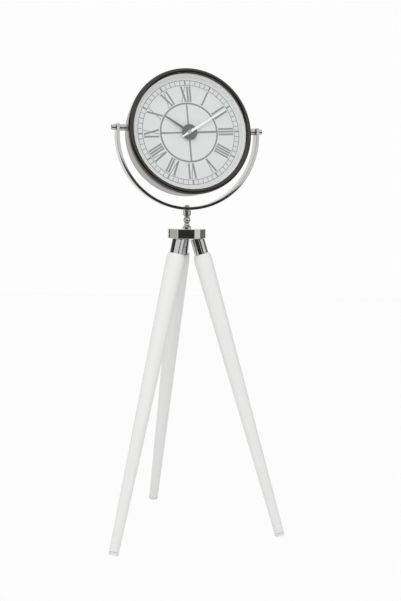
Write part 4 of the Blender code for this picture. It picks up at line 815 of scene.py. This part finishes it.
def board_lacquer():
    """Green lacquer with the copper tracks showing through a little lighter."""
    material, nodes, links, shader = new_finish("circuit board lacquer")
    vector = coordinates(nodes, links, dial_place)
    tracks = nodes.new("ShaderNodeTexBrick")
    for socket, value in (("Color1", (0.045, 0.19, 0.09, 1.0)), ("Color2", (0.050, 0.21, 0.10, 1.0)),
                          ("Mortar", (0.10, 0.30, 0.13, 1.0)), ("Scale", 260.0), ("Mortar Size", 0.06)):
        tracks.inputs[socket].default_value = value
    links.new(vector, tracks.inputs["Vector"])
    links.new(tracks.outputs["Color"], shader.inputs["Base Color"])
    cloud = noise(nodes, links, vector, 300.0)
    links.new(between(nodes, links, cloud, 0.28, 0.40), shader.inputs["Roughness"])
    raise_grain(nodes, links, shader, tracks.outputs["Fac"], 0.3, 0.00005)
    return material


def dress(node, finish):
    """Give a CAD node that stays in view its finish."""
    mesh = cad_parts[node].data
    mesh.materials.clear()
    mesh.materials.append(finish)


dress("movement_gasket", soft_rubber())
dress("coil", wound_copper())
dress("circuit_board", board_lacquer())
for contact in ("battery_contact_plus", "battery_contact_minus"):
    dress(contact, brass)
for side in leg_turns:
    dress("hinge_pin_" + side, hub_zinc)
    dress("leg_bolt_" + side, hub_zinc)
dress("pivot_stud_left", screw_zinc)
dress("pivot_stud_right", screw_zinc)


# Motion work and hands.
# Brass wheels behind the dial turn the two hands at twelve to one.
# The hour hand is a slim blade on a round disc, plated near black; the minute hand is bright sheet.
for wheel in ("minute_arbor", "hour_wheel", "setting_wheel"):
    dress(wheel, brass)
hour_turn = dial_turn @ Matrix.Rotation(-math.radians(305.0), 4, "Z")
minute_turn = dial_turn @ Matrix.Rotation(-math.radians(60.8), 4, "Z")


def draw_out(shape, half_width, reach):
    """Lengthen a blade from its far end to a new reach and a new half width there."""
    far = max(corner.co.y for corner in shape.verts)
    end = [face for face in shape.faces if all(abs(corner.co.y - far) < 1e-7 for corner in face.verts)]
    made = bmesh.ops.extrude_face_region(shape, geom=end)
    for corner in [item for item in made["geom"] if isinstance(item, bmesh.types.BMVert)]:
        corner.co.x = math.copysign(half_width, corner.co.x)
        corner.co.y = reach
    bmesh.ops.delete(shape, geom=[face for face in end if face.is_valid], context="FACES_ONLY")


hour_blade = block((-0.0015, 0.0080, 0.0070), (0.0015, 0.0102, 0.0076))
draw_out(hour_blade, 0.0009, 0.0360)
draw_out(hour_blade, 0.00006, 0.0390)
hour_hand = cut(hour_blade, [drill(0.0105, 0.0070, 0.0076, segments=96)], "UNION")
hour_hand = cut(hour_hand, [drill(0.0028, 0.006, 0.009)])
ease(hour_hand, 0.00012, sharper_than=50.0)
hour_plate = polished("hour hand dark plate", dial_place, (0.060, 0.057, 0.055), 0.08, 0.14, 0.05)
fit("hour_hand_blade", hour_hand, dial_place @ hour_turn, hour_plate, "hour_work",
    ["hour_hand"])

minute_blade = block((-0.00085, -0.0125, 0.0083), (0.00085, -0.0124, 0.0088))
for half_width, reach in ((0.00113, -0.00833), (0.0017, -0.0021), (0.0017, 0.0120), (0.0006, 0.0590)):
    draw_out(minute_blade, half_width, reach)
minute_hand = cut(minute_blade, [drill(0.0027, 0.0083, 0.0088, segments=64)], "UNION")
minute_hand = cut(minute_hand, [drill(0.0016, 0.007, 0.010)])
ease(minute_hand, 0.0001, sharper_than=50.0)


def bright_sheet():
    """Stamped bright sheet, brushed along the blade."""
    material, nodes, links, shader = new_finish("minute hand sheet", metallic=1.0)
    place = dial_place @ minute_turn
    brushed = noise(nodes, links, coordinates(nodes, links, place, (1.0, 0.03, 1.0)), 1800.0, 3.0)
    surface(nodes, links, shader, brushed, (0.955, 0.96, 0.96), (0.975, 0.98, 0.98), brushed, 0.16, 0.26)
    raise_grain(nodes, links, shader, brushed, 0.08, 0.00001)
    return material


fit("minute_hand_blade", minute_hand, dial_place @ minute_turn, bright_sheet(), "minute_work",
    ["minute_hand"])
cap = spun([(0.0, 0.0099), (0.0022, 0.0099), (0.0027, 0.00955), (0.0027, 0.0091), (0.0016, 0.0091),
            (0.0016, 0.0096), (0.0, 0.0096)], steps=64)
ease(cap, 0.0001)
cap_chrome = polished("hand cap chrome", dial_place, chrome_colour)
fit("hand_cap_button", cap, dial_place, cap_chrome, "minute_work", ["hand_cap"])


# Studio.
# A pale floor, one soft lamp in front, and cloths and papers around that only metal and glass mirror.
facing = Matrix.Rotation(-math.radians(16.13), 4, "Z")


def stage_object(name, shape, material):
    """A thing that belongs to the studio and not to the clock."""
    thing = as_object(name, shape)
    thing.data.materials.append(material)
    return thing


def white_to_the_eye(nodes, links):
    """1 where a ray comes from the camera or from metal or glass, 0 where it carries light."""
    rays = nodes.new("ShaderNodeLightPath")
    total = nodes.new("ShaderNodeMath")
    total.operation = "ADD"
    links.new(rays.outputs["Is Camera Ray"], total.inputs[0])
    links.new(rays.outputs["Is Glossy Ray"], total.inputs[1])
    clear = nodes.new("ShaderNodeMath")
    clear.operation, clear.use_clamp = "ADD", True
    links.new(total.outputs["Value"], clear.inputs[0])
    links.new(rays.outputs["Is Transmission Ray"], clear.inputs[1])
    return clear.outputs["Value"]


floor_paper = bpy.data.materials.new("floor paper")
floor_paper.use_nodes = True
nodes, links = floor_paper.node_tree.nodes, floor_paper.node_tree.links
nodes["Principled BSDF"].inputs["Base Color"].default_value = (0.80, 0.80, 0.80, 1.0)
nodes["Principled BSDF"].inputs["Roughness"].default_value = 0.9
glow = nodes.new("ShaderNodeEmission")
blend = nodes.new("ShaderNodeMixShader")
share = nodes.new("ShaderNodeMath")
share.operation = "MULTIPLY"
share.inputs[1].default_value = 0.91
links.new(white_to_the_eye(nodes, links), share.inputs[0])
links.new(share.outputs["Value"], blend.inputs["Fac"])
links.new(nodes["Principled BSDF"].outputs["BSDF"], blend.inputs[1])
links.new(glow.outputs["Emission"], blend.inputs[2])
links.new(blend.outputs["Shader"], nodes["Material Output"].inputs["Surface"])


def floor_sheet(low, high, level=0.0):
    """A sheet laid on the floor between two corners, seen from the camera's side."""
    sheet = bmesh.new()
    bmesh.ops.create_grid(sheet, x_segments=1, y_segments=1, size=0.5)
    bmesh.ops.scale(sheet, vec=(high[0] - low[0], high[1] - low[1], 1.0), verts=sheet.verts)
    middle = ((low[0] + high[0]) / 2, (low[1] + high[1]) / 2, level)
    bmesh.ops.translate(sheet, vec=middle, verts=sheet.verts)
    sheet.transform(tripod @ facing)
    return sheet


stage_object("floor", floor_sheet((-2.0, -0.45), (2.0, 3.0)), floor_paper)


def only_in_metal(name, shape, shade_of_grey):
    """Something in the studio that nothing but polished metal and glass shows."""
    material = bpy.data.materials.new(name)
    material.use_nodes = True
    nodes, links = material.node_tree.nodes, material.node_tree.links
    dim = nodes.new("ShaderNodeEmission")
    dim.inputs["Color"].default_value = (shade_of_grey, shade_of_grey * 0.97, shade_of_grey * 0.94, 1.0)
    links.new(dim.outputs["Emission"], nodes["Material Output"].inputs["Surface"])
    thing = stage_object(name, shape, material)
    thing.visible_camera = thing.visible_diffuse = thing.visible_shadow = False
    thing.visible_transmission = False


def dark_cloth(name, first, last, low, high, shade_of_grey, high_last=None):
    """A cloth hung between two bearings, in degrees from the camera towards the right; its top may slope."""
    distance = 4.0
    cloth = bmesh.new()
    middle = tripod @ facing @ Matrix.Rotation(math.radians(first - 90), 4, "Z")
    ends = [cloth.verts.new((distance, 0, low)), cloth.verts.new((distance, 0, high))]
    line = cloth.edges.new(ends)
    bmesh.ops.spin(cloth, geom=[*ends, line], cent=(0, 0, 0), axis=(0, 0, 1), dvec=(0, 0, 0),
                   angle=math.radians(last - first), steps=24, use_merge=False)
    for corner in cloth.verts:
        if high_last is not None and corner.co.z > (low + high) / 2:
            along = math.atan2(corner.co.y, corner.co.x) / math.radians(last - first)
            corner.co.z += (high_last - high) * along
    cloth.transform(middle)
    only_in_metal(name, cloth, shade_of_grey)


dark_cloth("front cloth", -53, 49, -3.0, 1.71, 0.045, high_last=0.32)
dark_cloth("upper right cloth", 5, 42, 0.92, 1.5, 0.045)
dark_cloth("upper left cloth", -125, -50, 1.3, 2.6, 0.06)
dark_cloth("left veil", -125, -57, -1.0, 0.33, 0.68)
dark_cloth("right cloth", 90, 165, -1.0, 2.2, 0.23)
dark_cloth("left strip", -140, -125, -1.0, 2.2, 0.05)
only_in_metal("right floor cloth", floor_sheet((0.7, -1.2), (2.4, 0.6), 0.0005), 0.03)
only_in_metal("left floor paper", floor_sheet((-1.5, -1.25), (0.1, -0.45), 0.0005), 0.975)

key_light = bpy.data.lights.new("front softbox", "AREA")
key_light.shape, key_light.size, key_light.energy = "DISK", 1.6, 13.0
key = bpy.data.objects.new("front softbox", key_light)
bpy.context.scene.collection.objects.link(key)
target = tripod @ Vector((0, 0, 0.35))
key_from = tripod @ facing @ Vector((-0.3, -2.0, 1.6))
aim = (target - key_from).to_track_quat("-Z", "Y").to_matrix().to_4x4()
key.matrix_world = Matrix.Translation(key_from) @ aim
key.visible_glossy = key.visible_camera = False

world = bpy.data.worlds.new("white studio")
world.use_nodes = True
bpy.context.scene.world = world
nodes, links = world.node_tree.nodes, world.node_tree.links
fill, seen = nodes["Background"], nodes.new("ShaderNodeBackground")
for light, strength in ((fill, 0.80), (seen, 0.985)):
    light.inputs["Color"].default_value = (1.0, 1.0, 1.0, 1.0)
    light.inputs["Strength"].default_value = strength
blend = nodes.new("ShaderNodeMixShader")
links.new(white_to_the_eye(nodes, links), blend.inputs["Fac"])
links.new(fill.outputs["Background"], blend.inputs[1])
links.new(seen.outputs["Background"], blend.inputs[2])
links.new(blend.outputs["Shader"], nodes["World Output"].inputs["Surface"])


# Camera.
# A slightly long lens, a little above the hub, looking slightly down, as the photograph was taken.
distance, height = 1.2875, 0.47003
pitch, roll, pan = math.radians(-6.598), math.radians(0.914), math.radians(0.895)
ahead = Vector((math.sin(pan) * math.cos(pitch), math.cos(pan) * math.cos(pitch), math.sin(pitch)))
right = Vector((math.cos(pan), -math.sin(pan), 0.0))
up = right.cross(ahead)
level_right = right * math.cos(roll) + up * math.sin(roll)
level_up = up * math.cos(roll) - right * math.sin(roll)
stand = Matrix.Identity(4)
for column, axis in enumerate((level_right, level_up, -ahead, Vector((0.0, -distance, height)))):
    for row in range(3):
        stand[row][column] = axis[row]
lens = bpy.data.cameras.new("camera")
lens.lens, lens.sensor_width = 57.06, 36.0
camera = bpy.data.objects.new("camera", lens)
bpy.context.scene.collection.objects.link(camera)
camera.matrix_world = tripod @ facing @ stand
bpy.context.scene.camera = camera
bpy.context.scene.view_settings.view_transform = "Standard"

bpy.context.view_layer.update()
